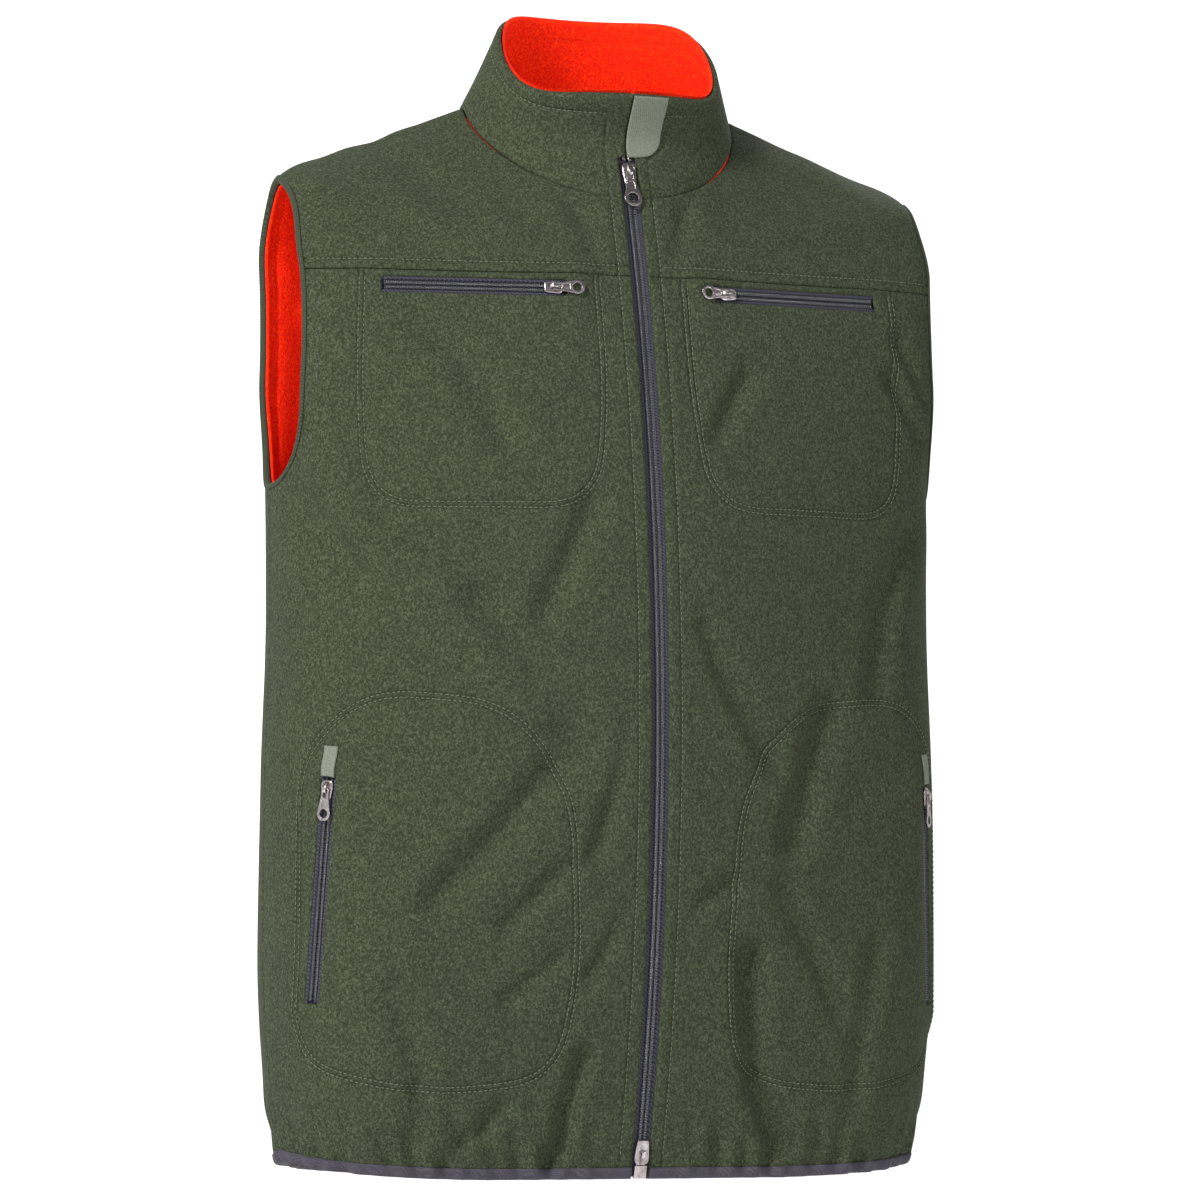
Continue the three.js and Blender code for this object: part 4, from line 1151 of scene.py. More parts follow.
def lining_depth(t, v):
    places = np.stack([t, v], -1)
    points = body(t, v)
    rise = points[:, 2] - body(t, np.zeros_like(t))[:, 2]
    away = smooth(outside_armholes(places) / 20) * smooth(rise / 26) * smooth((1 - v) / 0.1)
    return LINING_CLOSE + (LINING_DEEP - LINING_CLOSE) * away


def lining_panel(name, grid, edges, rows, surface=body):
    """edges are (distance, radius, outer and inner depth on the edge)"""
    places, triangles = cloth_grid(*grid)
    for edge, radius, _, _ in edges:
        places, triangles = cut(places, triangles, edge, (0.15 * radius, 0.5 * radius, radius))
    for row in rows:
        places, triangles = score(places, triangles, row, (-1.6, 0.0, 1.6))
    places, triangles = used_only(places, triangles)
    t, v = places.T
    near = lining_depth(t, v) if surface is body else np.full(len(t), LINING_CLOSE)
    far = near + LINING_WALL
    for edge, radius, outer_edge, inner_edge in edges:
        share = roll_off(edge(places), radius)
        near = near + (outer_edge - near) * share
        far = far + (inner_edge - far) * share
    for row in rows:
        far = far - row_groove(row(places), 0.6, 1.1)
    return sheet_mesh(name, lay(surface, t, v, near), lay(surface, t, v, np.maximum(far, near + 0.15)),
                      triangles, orange_fleece)


LINING_SPACING = SPACING * 1.5
LINING_TOP = 0.9995         # station of the lining's upper edge
LINING_ROW = 9.0
ARMHOLE_LAP = 1.2           # the lining runs this far past the shell's armhole edge


def over_armhole(places):
    return outside_armholes(places) + ARMHOLE_LAP


def armhole_row(places):
    return outside_armholes(places) - LINING_ROW


armhole_edge = (over_armhole, 1.8, 4.55, 5.0)
side_seam = (1.5, 8.6, 9.0)
neck_edge = (below_neck, 1.8, 4.7, 5.2)
zip_edge = (beside_zip(LINING_ZIP_EDGE), 9.0, 4.5, 4.9)


for side, turns in (("right", (-0.27, 0.0)), ("left", (0.0, 0.27))):
    span = grid_for(*turns, HEM_CLEAR, LINING_TOP, 340, 700, LINING_SPACING)
    piece = lining_panel(f"front_{side}_orange", span,
                         [zip_edge, (ahead_of_side(1), *side_seam), armhole_edge, neck_edge], [armhole_row])
    finish_piece(piece, "garment", [f"front_{side}_lining"])
    print(piece.name, len(piece.data.polygons), "faces")
piece = lining_panel("back_orange", grid_for(0.235, 0.765, HEM_CLEAR, LINING_TOP, 600, 700, LINING_SPACING),
                     [(ahead_of_side(-1), *side_seam), armhole_edge, neck_edge], [armhole_row])
finish_piece(piece, "garment", ["back_lining"])
print(piece.name, len(piece.data.polygons), "faces")

# %% Collar lining
PEEK = 1.8                  # the lining stands this far above the shell's rim


def collar_lining_edge(places):
    points = collar(places[:, 0], places[:, 1])
    x, height = points[:, 0], points[:, 2]
    closing = smooth((height - GUARD_FOOT - 3) / 5)
    edge = LINING_ZIP_EDGE - (LINING_ZIP_EDGE - 1.0) * closing
    return np.where(points[:, 1] > 0, FAR_AWAY, np.abs(x) - edge)


def inner_rim(places):
    return (1 + PEEK / COLLAR_HIGH - places[:, 1]) * COLLAR_HIGH


def inner_row(places):
    return below_rim(places) - RIM_STITCH


collar_inside = lining_panel(
    "collar_orange", grid_for(0.0, 1.0, 0.012, 1 + PEEK / COLLAR_HIGH, 470, COLLAR_HIGH, SPACING * 0.9),
    [(collar_lining_edge, 5.0, 4.4, 4.9), (inner_rim, 3.4, 3.35, 3.5)], [inner_row], surface=collar)
finish_piece(collar_inside, "garment", ["collar_lining"])
print(collar_inside.name, len(collar_inside.data.polygons), "faces")

# %% [markdown]
# ## Inside the layers
# Between shell and lining lie the four pocket bags and the hem elastic. They are hardly seen, but
# they share the folds, so nothing pokes through when the vest is looked at from inside.

# %% Pocket bags and elastic
BAG_OVER_LINING, BAG_WALL = 1.1, 0.8


def flat_piece(name, grid, edge, depth, wall, material):
    places, triangles = cloth_grid(*grid)
    places, triangles = cut(places, triangles, edge, ())
    t, v = places.T
    outer = depth(t, v)
    return sheet_mesh(name, lay(body, t, v, outer), lay(body, t, v, outer + wall), triangles, material)


# turns, stations, width and height of the grid, top of the bag, then its flat size and area
BAGS = {
    "chest": ((0.015, 0.20), (0.52, 0.83), 210, 210, 577.0, (0.155, 0.15), 0.0215),
    "hand": ((0.03, 0.25), (0.05, 0.44), 260, 290, 900.0, (0.19, 0.255), 0.042),
}
for name, zip_ in pocket_zips.items():
    place, side = name.split("_")
    (t0, t1), (v0, v1), wide, high, top, flat_size, area = BAGS[place]
    turns = (t0, t1) if side == "left" else (-t1, -t0)
    outline = outline_distance(name)

    def in_bag(places, outline=outline, top=top):
        return np.minimum(-outline(places) - 1, top - body(places[:, 0], places[:, 1])[:, 2])

    bag = flat_piece(f"{name}_pocketing", grid_for(*turns, v0, v1, wide, high, 9.0), in_bag,
                     lambda t, v: lining_depth(t, v) - BAG_OVER_LINING, BAG_WALL, pocket_cloth)
    finish_piece(bag, "garment", [f"{name}_bag"])
ELASTIC_HIGH, ELASTIC_END, ELASTIC_DEPTH, ELASTIC_WALL = 10, 15, 2.9, 1.1
elastic_top = HEM_CLEAR + ELASTIC_HIGH * STATION_PER_MM
elastic = flat_piece("hem_elastic_band",
                     grid_for(0.0, 1.0, HEM_CLEAR, elastic_top, 1180, ELASTIC_HIGH, 2.5),
                     beside_zip(ELASTIC_END), lambda t, v: np.full(len(t), ELASTIC_DEPTH), ELASTIC_WALL,
                     elastic_cloth)
finish_piece(elastic, "garment", ["hem_elastic"])
print("four bags and the elastic")

# %% [markdown]
# ## Bindings
# Raw edges at the hem and armholes are wrapped in a knitted strip. In section the strip is a U: a
# lip outside, a round turn over the edge and a lip inside. Sweeping that one section round the edge
# makes the whole binding, and at the hem it rides over the gathers.

# %% Sweeping a section
def swept(name, sections, material, closed):
    """sections is an array of rings of points; an open sweep gets a flat cap at each end"""
    sections = np.asarray(sections)
    rings, count = sections.shape[:2]
    faces = []
    for i in range(rings if closed else rings - 1):
        here, there = i * count, (i + 1) % rings * count
        for j in range(count):
            k = (j + 1) % count
            faces.append((here + j, here + k, there + k, there + j))
    if not closed:
        faces += [tuple(range(count))[::-1], tuple(range((rings - 1) * count, rings * count))]
    thing = mesh_object(name, sections.reshape(-1, 3), faces, material)
    outward(thing)
    return thing


def outward(thing):
    """turns every face out of its solid"""
    work = bmesh.new()
    work.from_mesh(thing.data)
    bmesh.ops.recalc_face_normals(work, faces=work.faces)
    work.to_mesh(thing.data)
    work.free()


# %% Hem binding
HEM_SECTION = [(-0.35, 7.0), (-0.8, 7.4), (-1.3, 6.9), (-1.5, 4.6), (-1.4, 2.2), (-0.6, 0.7), (1.0, 0.05),
               (4.0, 0.0), (6.3, 0.35), (7.7, 1.4), (8.1, 3.0), (8.1, 6.5), (7.6, 7.2), (7.1, 6.9),
               (7.0, 2.7), (6.2, 1.95), (0.3, 1.95), (-0.3, 2.8)]
end = float(turn_at(np.array([6.2]), np.array([0.0]))[0])
hem_turns = np.linspace(end, 1 - end, 620)
hem_rings = []
for depth, height in HEM_SECTION:
    strip = lay(body, hem_turns, np.full_like(hem_turns, max(height, 0.1) * STATION_PER_MM), depth)
    strip[:, 2] = (body(hem_turns, np.zeros_like(hem_turns))[:, 2] + height - BACK_LENGTH) * MM
    hem_rings.append(strip)
hem_binding = swept("hem_binding_band", np.stack(hem_rings, 1), hem_cloth, closed=False)
finish_piece(hem_binding, "garment", ["hem_binding"])
print(hem_binding.name, len(hem_binding.data.polygons), "faces")

# %% Armhole bindings
ARMHOLE_SECTION = [(-2.2, -0.05), (-2.6, -0.4), (-2.2, -0.85), (-0.6, -0.95), (0.7, -0.4), (1.5, 0.8),
                   (1.5, 2.6), (0.8, 3.8), (-0.4, 4.3), (-2.6, 4.35), (-2.9, 4.0), (-2.6, 3.7),
                   (-0.6, 3.5), (0.3, 2.8), (0.5, 1.4), (-0.3, 0.3)]
for side, sign in (("right", -1), ("left", 1)):
    t, v = armhole_line(sign, steps=240)
    edge, out = lay(body, t, v, 0.0), normals(body, t, v)
    along = np.roll(edge, -1, 0) - np.roll(edge, 1, 0)
    inward = np.cross(along, out) * -sign
    inward /= np.linalg.norm(inward, axis=1, keepdims=True)
    rings = [edge + (inward * reach - out * depth) * MM for reach, depth in ARMHOLE_SECTION]
    binding = swept(f"armhole_{side}_band", np.stack(rings, 1), armhole_cloth, closed=True)
    finish_piece(binding, "garment", [f"armhole_binding_{side}"])
print("both armholes bound")

# %% [markdown]
# ## The main zip
# Each half is a woven tape with a coil of stiff nylon wire sewn along it. A real coil is wound like
# a spring, so it is made as one: a tube follows an oval helix, one turn every 1.7 mm. The coil's
# turns catch the light one by one, which a flat bar with a pattern never does. Its grey colour, lighter
# than the black nylon, is a painted highlight that helps those glints show.

# %% Tape
FRONT_TAPE = [(0.06, -3.6), (3.1, -3.6), (3.7, -2.6), (4.6, -2.3), (6.4, -2.4), (8.0, -2.8), (13.0, -3.6),
              (13.0, -4.15), (8.0, -3.4), (6.2, -3.0), (4.2, -3.1), (3.3, -4.2), (0.06, -4.2)]
TAPE_FOOT, TAPE_TOP = 1.5, ARC_END


def along_front(heights, x, z):
    """points across and out of the front edge, in metres"""
    heights = np.asarray(heights, float)
    step = 0.5
    up_y = edge_y(heights + step) - edge_y(heights - step)
    long = np.hypot(up_y, 2 * step)
    up_y, up_z = up_y / long, 2 * step / long
    return to_metres(np.stack([x + 0 * heights, edge_y(heights) - up_z * z, heights + up_y * z], -1))


for side, sign in (("right", -1), ("left", 1)):
    heights = np.linspace(TAPE_FOOT, TAPE_TOP, 110)
    rings = np.stack([along_front(heights, sign * x, z) for x, z in FRONT_TAPE], 1)
    tape = swept(f"front_zip_{side}_tape", rings, zip_tape_cloth, closed=False)
    finish_piece(tape, "garment", [f"zip_tape_{side}"])
print("two tapes", round((TAPE_TOP - TAPE_FOOT) / 10, 1), "cm long")


# %% Coil
def coil(start, stop, pitch, side_sign, place_points, wire=0.32, sides=5, turn_steps=8):
    """rings of points of one coil row; place_points(along, x, z) gives its points in metres"""
    turns = int(abs(stop - start) / pitch)
    angle = np.linspace(0, 2 * math.pi * turns, turns * turn_steps + 1)
    along = start + (stop - start) * angle / angle[-1]
    radial_x, radial_z = np.cos(angle), np.sin(angle)
    x, z = side_sign * (1.68 + 1.10 * radial_x), -2.05 + 0.80 * radial_z
    lean = pitch / (2 * math.pi) / 0.95 * np.sign(stop - start)
    rings = []
    for phi in np.linspace(0, 2 * math.pi, sides, endpoint=False):
        out, beside = wire * math.cos(phi), wire * math.sin(phi)
        tilt = beside * lean
        rings.append(place_points(along + beside, x + side_sign * (out * radial_x + tilt * radial_z),
                                  z + out * radial_z - tilt * radial_x))
    return np.stack(rings, 1)


def joined(name, sweeps, material):
    """several open sweeps as one piece"""
    parts = [swept(f"{name}_{i}", rings, material, closed=False) for i, rings in enumerate(sweeps)]
    return merged(name, parts)


def merged(name, parts):
    with bpy.context.temp_override(active_object=parts[0], object=parts[0], selected_objects=parts,
                                   selected_editable_objects=parts):
        bpy.ops.object.join()
    parts[0].name = name
    parts[0].data.name = name
    return parts[0]


COIL_TOP = ARC_END - 5.5
COIL_PITCH = 1.7
for side, sign, low in (("right", -1, 22.6), ("left", 1, 20.6)):
    rings = coil(low, COIL_TOP - 0.3, COIL_PITCH, sign, along_front)
    row = swept(f"front_zip_{side}_coil", rings, coil_plastic, closed=False)
    finish_piece(row, "garment", [f"zip_coil_{side}"])
    print(row.name, len(row.data.polygons), "faces")

# %% [markdown]
# ## Pocket zips
# A pocket zip lies in a slit. Its tape is turned up along both sides of the slit into two narrow
# welts, and two coil rows run between them.

# %% Pocket tapes and coils
POCKET_TAPE = [(0.06, -3.6), (3.05, -3.6), (3.35, -1.9), (3.9, -1.1), (4.7, -1.0), (5.5, -1.35),
               (5.9, -2.2), (6.1, -3.3), (9.0, -3.6), (9.0, -4.15), (5.4, -4.0), (3.3, -4.2),
               (0.06, -4.2)]
for name, zip_ in pocket_zips.items():
    placed, length = zip_["frame"], zip_["length"]

    def along_pocket(along, x, z, placed=placed):
        return out_of(placed, np.stack([x + 0 * along, along, z + 0 * along], -1))

    span = np.linspace(-length - zip_["tape_end"], zip_["tape_end"], 12)
    sweeps = [np.stack([along_pocket(span, sign * x, z) for x, z in POCKET_TAPE], 1) for sign in (-1, 1)]
    tape = joined(f"{name}_tape", sweeps, zip_tape_cloth)
    finish_piece(tape, "garment", [f"{name}_zip_tape"])
    rows = [coil(COIL_END - 0.8, -length + 1.7, 1.5, sign, along_pocket, wire=0.30) for sign in (-1, 1)]
    teeth = joined(f"{name}_coil", rows, coil_plastic)
    finish_piece(teeth, "garment", [f"{name}_zip_coil"])
print("four pocket zips")

# %% [markdown]
# ## Chin guard and zip garages
# A patch of smooth sage cloth covers the top of the zip so that it never scratches the chin, and a
# small tab of the same cloth hides the top of each hand zip. Both are thin patches laid on the fleece.

# %% Guard and garages
GUARD_LOW = 661.06
GUARD_TURN = 0.0445
GUARD_CORNER = 11.0
COLLAR_ROUND = 440          # millimetres in a whole turn of the collar


def guard_edge(places):
    """distance inside the guard, whose lower outer corner is rounded"""
    points = collar(places[:, 0], places[:, 1])
    a = points[:, 2] - GUARD_LOW - 1.5 * smooth(points[:, 0] / 25)
    b = GUARD_TURN * COLLAR_ROUND - places[:, 0] * COLLAR_ROUND + 3.5 * places[:, 1]
    rounded = GUARD_CORNER - np.hypot(GUARD_CORNER - a, GUARD_CORNER - b)
    return np.where((a < GUARD_CORNER) & (b < GUARD_CORNER), rounded, np.minimum(a, b))


def under_rim(places):
    return (1.0 - places[:, 1]) * COLLAR_HIGH + 0.01


def past_zip(places):
    return (places[:, 0] + 0.0005) * COLLAR_ROUND


guard = panel("chin_guard_patch", grid_for(-0.0004, GUARD_TURN + 0.012, 0.39, 1.0, 27, 40, 1.4),
              [(guard_edge, 1.0, 0.8), (under_rim, 1.2, 0.9), (past_zip, 1.0, 0.8)],
              [], [], sage_cloth, wall=1.0, surface=collar, lift=1.5)
finish_piece(guard, "garment", ["chin_guard"])
GARAGE_HALF, GARAGE_LONG, GARAGE_START = 4.9, 19.5, 2.0
for side, turns in (("right", (-0.215, -0.17)), ("left", (0.17, 0.215))):
    zip_ = pocket_zips[f"hand_{side}"]

    def in_garage(places, placed=zip_["frame"]):
        local = into(placed, to_metres(body(places[:, 0], places[:, 1])))
        middle = GARAGE_START + GARAGE_LONG / 2
        pinch = 0.35 * np.sin((local[:, 1] - GARAGE_START) / GARAGE_LONG * math.pi * 2)
        from_end = GARAGE_LONG / 2 - np.abs(local[:, 1] - middle)
        return np.minimum(GARAGE_HALF - np.abs(local[:, 0] + pinch), from_end)

    tab = panel(f"hand_{side}_tab", grid_for(*turns, 0.32, 0.385, 48, 50, 1.4),
                [(in_garage, 1.0, 0.8)], [], [], sage_cloth, wall=1.0, lift=1.5)
    finish_piece(tab, "garment", [f"hand_{side}_garage"])
print("guard and two garages")

# %% [markdown]
# ## Sliders and pulls
# The metal is die cast, so every edge is slightly round. A flat outline with holes is the quickest
# way to such a part: a filled curve with a little bevel makes a rounded plate, holes and all. A
# slider is two plates on a wedge with a bridge over the top, and the pull hangs from the bridge.

# %% Rounded plates
def plate(name, outline, low, high, placed, material, holes=(), bevel=0.22):
    """a filled outline in millimetres, with round edges, placed by a frame"""
    curve = bpy.data.curves.new(name, "CURVE")
    curve.dimensions = "2D"
    curve.fill_mode = "BOTH"
    for line in (outline, *holes):
        spline = curve.splines.new("POLY")
        spline.points.add(len(line) - 1)
        for point, (x, y) in zip(spline.points, line):
            point.co = (x, y, 0, 1)
        spline.use_cyclic_u = True
    curve.extrude = (high - low) / 2 - bevel
    curve.bevel_depth = bevel
    curve.bevel_resolution = 2
    curve.offset = -bevel
    thing = bpy.data.objects.new(name, curve)
    bpy.context.scene.collection.objects.link(thing)
    bpy.context.view_layer.update()
    mesh = bpy.data.meshes.new_from_object(thing.evaluated_get(bpy.context.evaluated_depsgraph_get()))
    bpy.data.objects.remove(thing)
    work = bmesh.new()
    work.from_mesh(mesh)
    bmesh.ops.remove_doubles(work, verts=work.verts, dist=0.002)
    bmesh.ops.translate(work, verts=work.verts, vec=(0, 0, (low + high) / 2))
    bmesh.ops.scale(work, verts=work.verts, vec=(MM, MM, MM))
    bmesh.ops.recalc_face_normals(work, faces=work.faces)
    work.to_mesh(mesh)
    work.free()
    mesh.transform(Matrix(placed.tolist()))
    mesh.shade_smooth()
    mesh.set_sharp_from_angle(angle=math.radians(38))
    mesh.materials.clear()
    mesh.materials.append(material)
    piece = bpy.data.objects.new(name, mesh)
    bpy.context.scene.collection.objects.link(piece)
    return piece


def circle(radius, centre=(0, 0), start=0.0, stop=2 * math.pi, steps=28):
    return [(centre[0] + radius * math.cos(a), centre[1] + radius * math.sin(a))
            for a in np.linspace(start, stop, steps, endpoint=abs(stop - start) < 6.28)]


def rounded_outline(corners, radius, steps=5):
    return [tuple(p) for p in rounded_line(corners, [radius] * len(corners), steps)]


# %% Slider
PLATE_LOW, PLATE_TOP, UNDER_PLATE = -0.5, 0.7, -4.5
BAR_REACH = 1.1485           # the bridge stands this far from the pull's axis
BRIDGE_HALF = 1.2
WEDGE_HALF = 0.06            # thin enough to run between the tapes without touching them


def slider(name, long, half, placed, closed_nose):
    nose = long / 2
    outline = rounded_outline([(-half * 0.8, -nose), (half * 0.8, -nose), (half, nose * 0.2),
                               (half, nose * 0.75), (half * 0.55, nose), (-half * 0.55, nose),
                               (-half, nose * 0.75), (-half, nose * 0.2)], 1.6)
    side_view = placed.copy()
    side_view[:3, 0], side_view[:3, 1], side_view[:3, 2] = placed[:3, 1], placed[:3, 2], placed[:3, 0]
    roof_in, roof_out = PULL_LIFT + BAR_REACH, PULL_LIFT + BAR_REACH + 1.0
    back, front = -BAR_REACH - 1.0, nose * closed_nose
    bridge = [(back, PLATE_TOP - 0.2), (back, roof_out - 1.3), (back + 0.5, roof_out - 0.4),
              (back + 1.4, roof_out), (BAR_REACH, roof_out), (BAR_REACH + 1.2, roof_out - 0.35),
              (front - 0.8, PLATE_TOP + 1.3), (front, PLATE_TOP + 0.5), (front, PLATE_TOP - 0.2)]
    eye = rounded_outline([(-BAR_REACH, PLATE_TOP + 0.05), (BAR_REACH, PLATE_TOP + 0.05),
                           (BAR_REACH, roof_in), (-BAR_REACH, roof_in)], 0.55)
    wedge = rounded_outline([(-WEDGE_HALF, nose - 6), (WEDGE_HALF, nose - 6), (WEDGE_HALF, nose - 0.5),
                             (-WEDGE_HALF, nose - 0.5)], 0.02)
    rim_line = [(x * 0.86, y * 0.93) for x, y in outline]
    parts = [
        plate(name, outline, PLATE_LOW, PLATE_TOP, placed, nickel, bevel=0.4),
        plate(name, rim_line, PLATE_TOP - 0.3, PLATE_TOP + 0.25, placed, nickel,
              holes=[[(x * 0.72, y * 0.84) for x, y in outline]], bevel=0.12),
        plate(name, outline, UNDER_PLATE - 0.96, UNDER_PLATE, placed, nickel, bevel=0.3),
        plate(name, wedge, UNDER_PLATE - 0.3, PLATE_LOW + 0.3, placed, nickel, bevel=0.01),
        plate(name, bridge, -BRIDGE_HALF, BRIDGE_HALF, side_view, nickel, holes=[eye], bevel=0.32),
    ]
    return merged(name, parts)


top_slider = slider("top_slider_body", TOP_SLIDER, 4.8, top_frame, 0.9)
finish_piece(top_slider, "top_slider", ["top_slider"])
bottom_slider = slider("bottom_slider_body", TOP_SLIDER, 4.8, bottom_frame, 0.9)
finish_piece(bottom_slider, "bottom_slider", ["bottom_slider"])
for name, zip_ in pocket_zips.items():
    piece = slider(f"{name}_slider_body", POCKET_SLIDER, 4.3, moved(zip_["pivot"], z=-PULL_LIFT), 0.85)
    finish_piece(piece, f"{name}_slider", [f"{name}_slider"])
print("six sliders")


# %% Pulls
def pull_tab(name, long, ring, placed, direction):
    """direction -1 hangs away from the closed end, 1 lies towards it"""
    half, eye_end, neck, hole = 0.6, -5.0, 2.7, 1.5
    centre = -(long - ring)
    round_end = circle(ring, (0, centre), 0.14 * math.pi, -1.14 * math.pi, 30)
    outline = [(-neck, half), (neck, half), (neck + 0.15, eye_end), *round_end, (-neck - 0.15, eye_end)]
    outline = [(x, min(y, half)) for x, y in outline]
    eye = rounded_outline([(-hole, -0.62), (-hole, eye_end), (hole, eye_end), (hole, -0.62)], 0.5)
    panel_hole = rounded_outline([(-1.6, eye_end - 1.3), (1.6, eye_end - 1.3), (2.1, centre + ring * 0.98),
                                  (-2.1, centre + ring * 0.98)], 0.5)
    bore = circle(ring * 0.60, (0, centre))
    flipped = placed.copy()
    if direction > 0:
        flipped[:3, :2] *= -1
    parts = [plate(name, outline, -half, half, flipped, nickel, holes=[eye, panel_hole, bore], bevel=0.26),
             plate(name, [(x * 1.2, y) for x, y in panel_hole], -0.28, 0.28, flipped, nickel, bevel=0.08)]
    return merged(name, parts)


top_pull = pull_tab("top_pull_tab", 24.0, 6.0, top_pull_frame, -1)
finish_piece(top_pull, "top_pull", ["top_pull"])
for name, zip_ in pocket_zips.items():
    piece = pull_tab(f"{name}_pull_tab", 20.0, 4.8, zip_["pivot"], 1 if name.startswith("chest") else -1)
    finish_piece(piece, f"{name}_pull", [f"{name}_pull"])
print("five pulls")


# %% Small end fittings
def softened(node, bevel):
    """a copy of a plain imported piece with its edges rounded"""
    work = bmesh.new()
    work.from_mesh(frame["nodes"][node].data)
    bmesh.ops.remove_doubles(work, verts=work.verts, dist=1e-6)
    bmesh.ops.dissolve_limit(work, angle_limit=math.radians(4), verts=work.verts, edges=work.edges)
    mesh = bpy.data.meshes.new(f"{node}_cast")
    work.to_mesh(mesh)
    work.free()
    thing = bpy.data.objects.new(f"{node}_cast", mesh)
    bpy.context.scene.collection.objects.link(thing)
    rounding = thing.modifiers.new("rounding", "BEVEL")
    rounding.width = bevel * MM
    rounding.segments = 2
    rounding.limit_method = "ANGLE"
    mesh.materials.append(nickel)
    mesh.shade_smooth()
    mesh.set_sharp_from_angle(angle=math.radians(40))
    return finish_piece(thing, "garment", [node])


for node in ("top_stop_right", "top_stop_left", "insertion_pin", "retainer_box"):
    softened(node, 0.25)
print("stops, pin and box")

# %% [markdown]
# ## Stitching
# Thread is what makes cloth look sewn. Each stitch is a short rod with pointed ends, sunk a little
# in the row that the cloth already has, and every row is one line of places on the surface.

# %% Stitches along a line
def stitch_row(surface, places, depth, pitch=3.4, long=2.4, thick=0.3):
    """points and faces of the stitches along a line of (t, v) places"""
    line = lay(surface, *places.T, depth)
    gaps = np.linalg.norm(np.diff(line, axis=0), axis=1)
    way = np.concatenate([[0], np.cumsum(gaps)])
    starts = np.arange(0.5 * pitch * MM, way[-1] - long * MM, pitch * MM)
    here = np.stack([np.interp(starts, way, line[:, k]) for k in range(3)], -1)
    there = np.stack([np.interp(starts + long * MM, way, line[:, k]) for k in range(3)], -1)
    t = np.interp(starts, way, places[:, 0])
    v = np.interp(starts, way, places[:, 1])
    out = normals(surface, t, v)
    along = there - here
    across = np.cross(along, out)
    across /= np.linalg.norm(across, axis=1, keepdims=True)
    r = thick * MM
    rings = [here]
    for share, size in ((0.2, 0.85), (0.5, 1.0), (0.8, 0.85)):
        middle = here + along * share
        for a in (0, math.pi / 2, math.pi, 1.5 * math.pi):
            rings.append(middle + (across * math.cos(a) + out * math.sin(a)) * r * size)
    rings.append(there)
    points = np.stack(rings, 1)
    template = [(0, 1 + (j + 1) % 4, 1 + j) for j in range(4)]
    for k in (1, 5):
        template += [(k + j, k + (j + 1) % 4, k + 4 + (j + 1) % 4, k + 4 + j) for j in range(4)]
    template += [(9 + j, 9 + (j + 1) % 4, 13) for j in range(4)]
    faces = [tuple(index + n * points.shape[1] for index in face)
             for n in range(len(points)) for face in template]
    return points.reshape(-1, 3), faces


def on_shell(t, v):
    """how deep a stitch lies on the shell"""
    return 0.35


def stitching(name, rows, material, depth_of=on_shell):
    """one piece made of rows of (surface, line of places); depth_of gives how deep the thread lies"""
    points, faces, count = [], [], 0
    for surface, places in rows:
        p, f = stitch_row(surface, places, depth_of(*places.T))
        points.append(p)
        faces += [tuple(i + count for i in face) for face in f]
        count += len(p)
    thing = mesh_object(name, np.vstack(points), faces, material)
    outward(thing)
    return finish_piece(thing, "garment")


def offset_line(line, by):
    """a closed flat line moved sideways"""
    ahead = np.roll(line[:-1], -1, 0) - np.roll(line[:-1], 1, 0)
    ahead /= np.linalg.norm(ahead, axis=1, keepdims=True)
    moved_line = line[:-1] + np.stack([ahead[:, 1], -ahead[:, 0]], -1) * by
    return np.vstack([moved_line, moved_line[:1]])


def open_runs(places, keep):
    """splits a line into the runs where keep is true"""
    runs, current = [], []
    for place, kept in zip(places, keep):
        if kept:
            current.append(place)
            continue
        if len(current) > 3:
            runs.append(np.array(current))
        current = []
    if len(current) > 3:
        runs.append(np.array(current))
    return runs


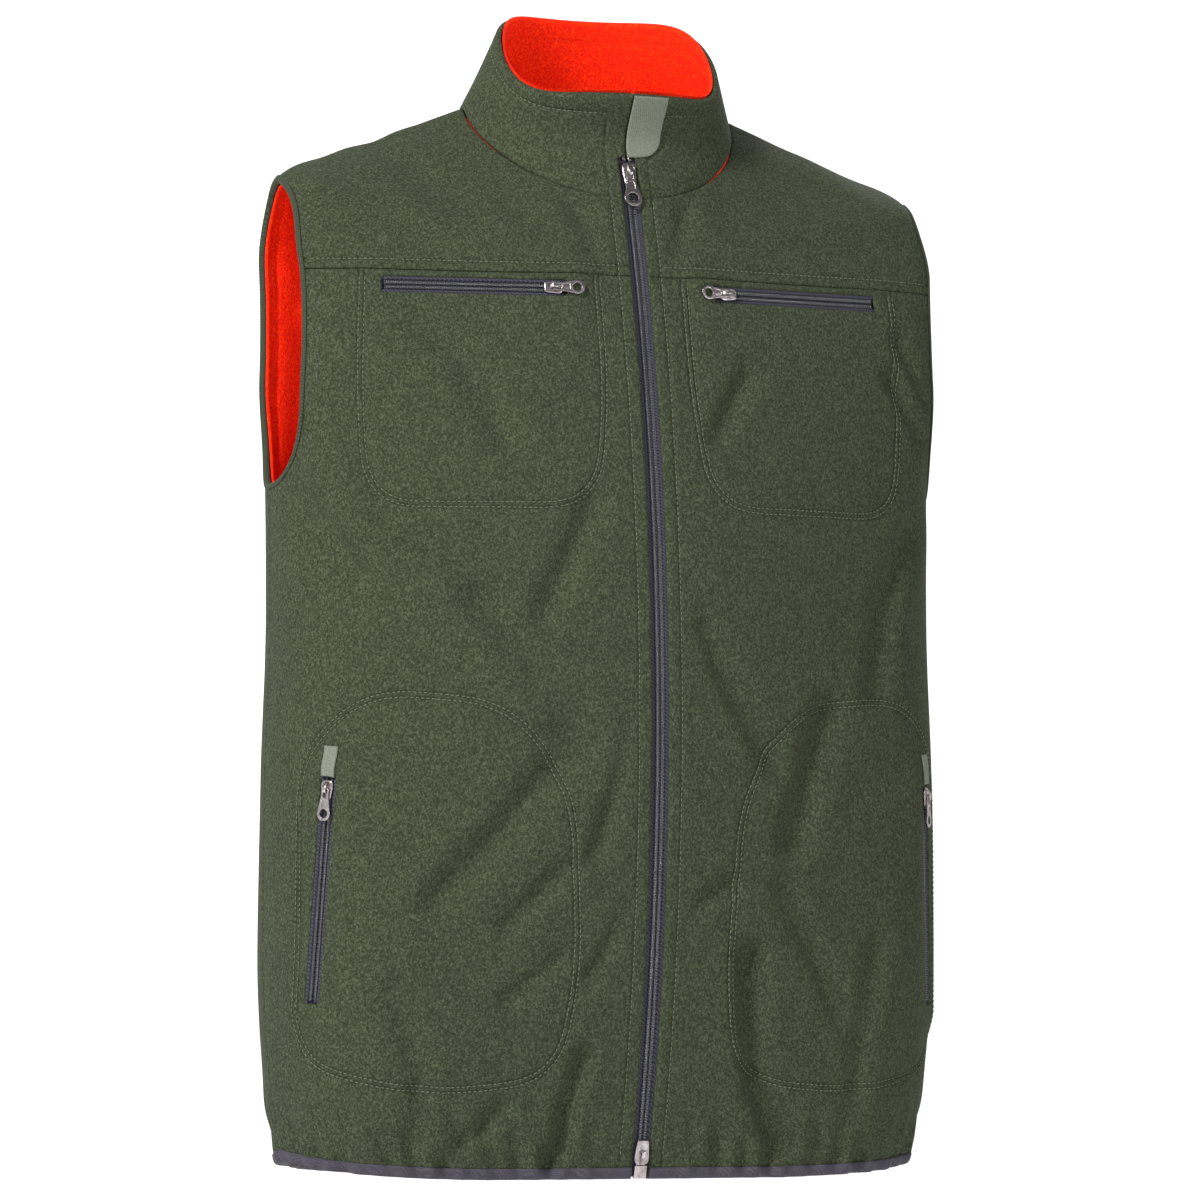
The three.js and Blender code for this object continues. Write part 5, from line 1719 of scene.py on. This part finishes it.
# %% Rows on the shell
for side, sign in (("right", -1), ("left", 1)):
    v = np.linspace(0.02, 0.995, 260)
    rows = [(body, np.stack([turn_at(np.full_like(v, sign * ZIP_STITCH), v), v], -1))]
    for name in (f"chest_{side}", f"hand_{side}"):
        flat = resampled(pocket_outlines[name], 4.0)
        for by in (-TWIN_HALF, TWIN_HALF):
            moved_flat = offset_line(flat, by)
            places = rolled_up(moved_flat)
            keep = (moved_flat[:, 1] < YOKE_FRONT - 2.5) & (np.abs(places[:, 0]) < 0.249)
            rows += [(body, run) for run in open_runs(places, keep)]
    stitching(f"front_{side}_stitches", rows, olive_thread)
t = np.linspace(0.0, 1.0, 500)
height = np.where(body(t, 0.78)[:, 1] < SIDE_SEAM_Y, YOKE_FRONT, YOKE_BACK) + YOKE_STITCH
places = np.stack([t, station_at(t, height)], -1)
points = body(*places.T)
keep = (outside_armholes(places) > 5) & ~((np.abs(points[:, 0]) < ZIP_STITCH) & (points[:, 1] < 0))
rows = [(body, run) for run in open_runs(places, keep)]
stitching("yoke_stitches", rows, olive_thread)
print("rows on fronts and yoke")

# %% Rows on the collar and lining
t = np.linspace(0.03, 0.97, 240)
rim_row = np.stack([t, np.full_like(t, 1 - RIM_STITCH / COLLAR_HIGH)], -1)
stitching("collar_stitches", [(collar, rim_row)], olive_thread)
THREAD_SUNK = 0.1           # the thread lies this far inside the lining's inner face
inner_rows = []
for sign in (1, -1):
    t, v = armhole_line(sign, share=1.09)
    inner_rows.append((body, np.stack([np.append(t, t[0]), np.append(v, v[0])], -1)))
stitching("armhole_inner_stitches", inner_rows, orange_thread,
          lambda t, v: lining_depth(t, v) + LINING_WALL - THREAD_SUNK)
stitching("collar_inner_stitches", [(collar, rim_row)], orange_thread,
          lambda t, v: np.full_like(t, LINING_CLOSE + LINING_WALL - THREAD_SUNK))
print("rows on collar and lining")

# %% [markdown]
# ## Size
# The last step prints the finished model's box.

# %% Sizes and finish
low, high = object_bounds()
print("visual box", [round(value, 4) for value in (*low, *high)])
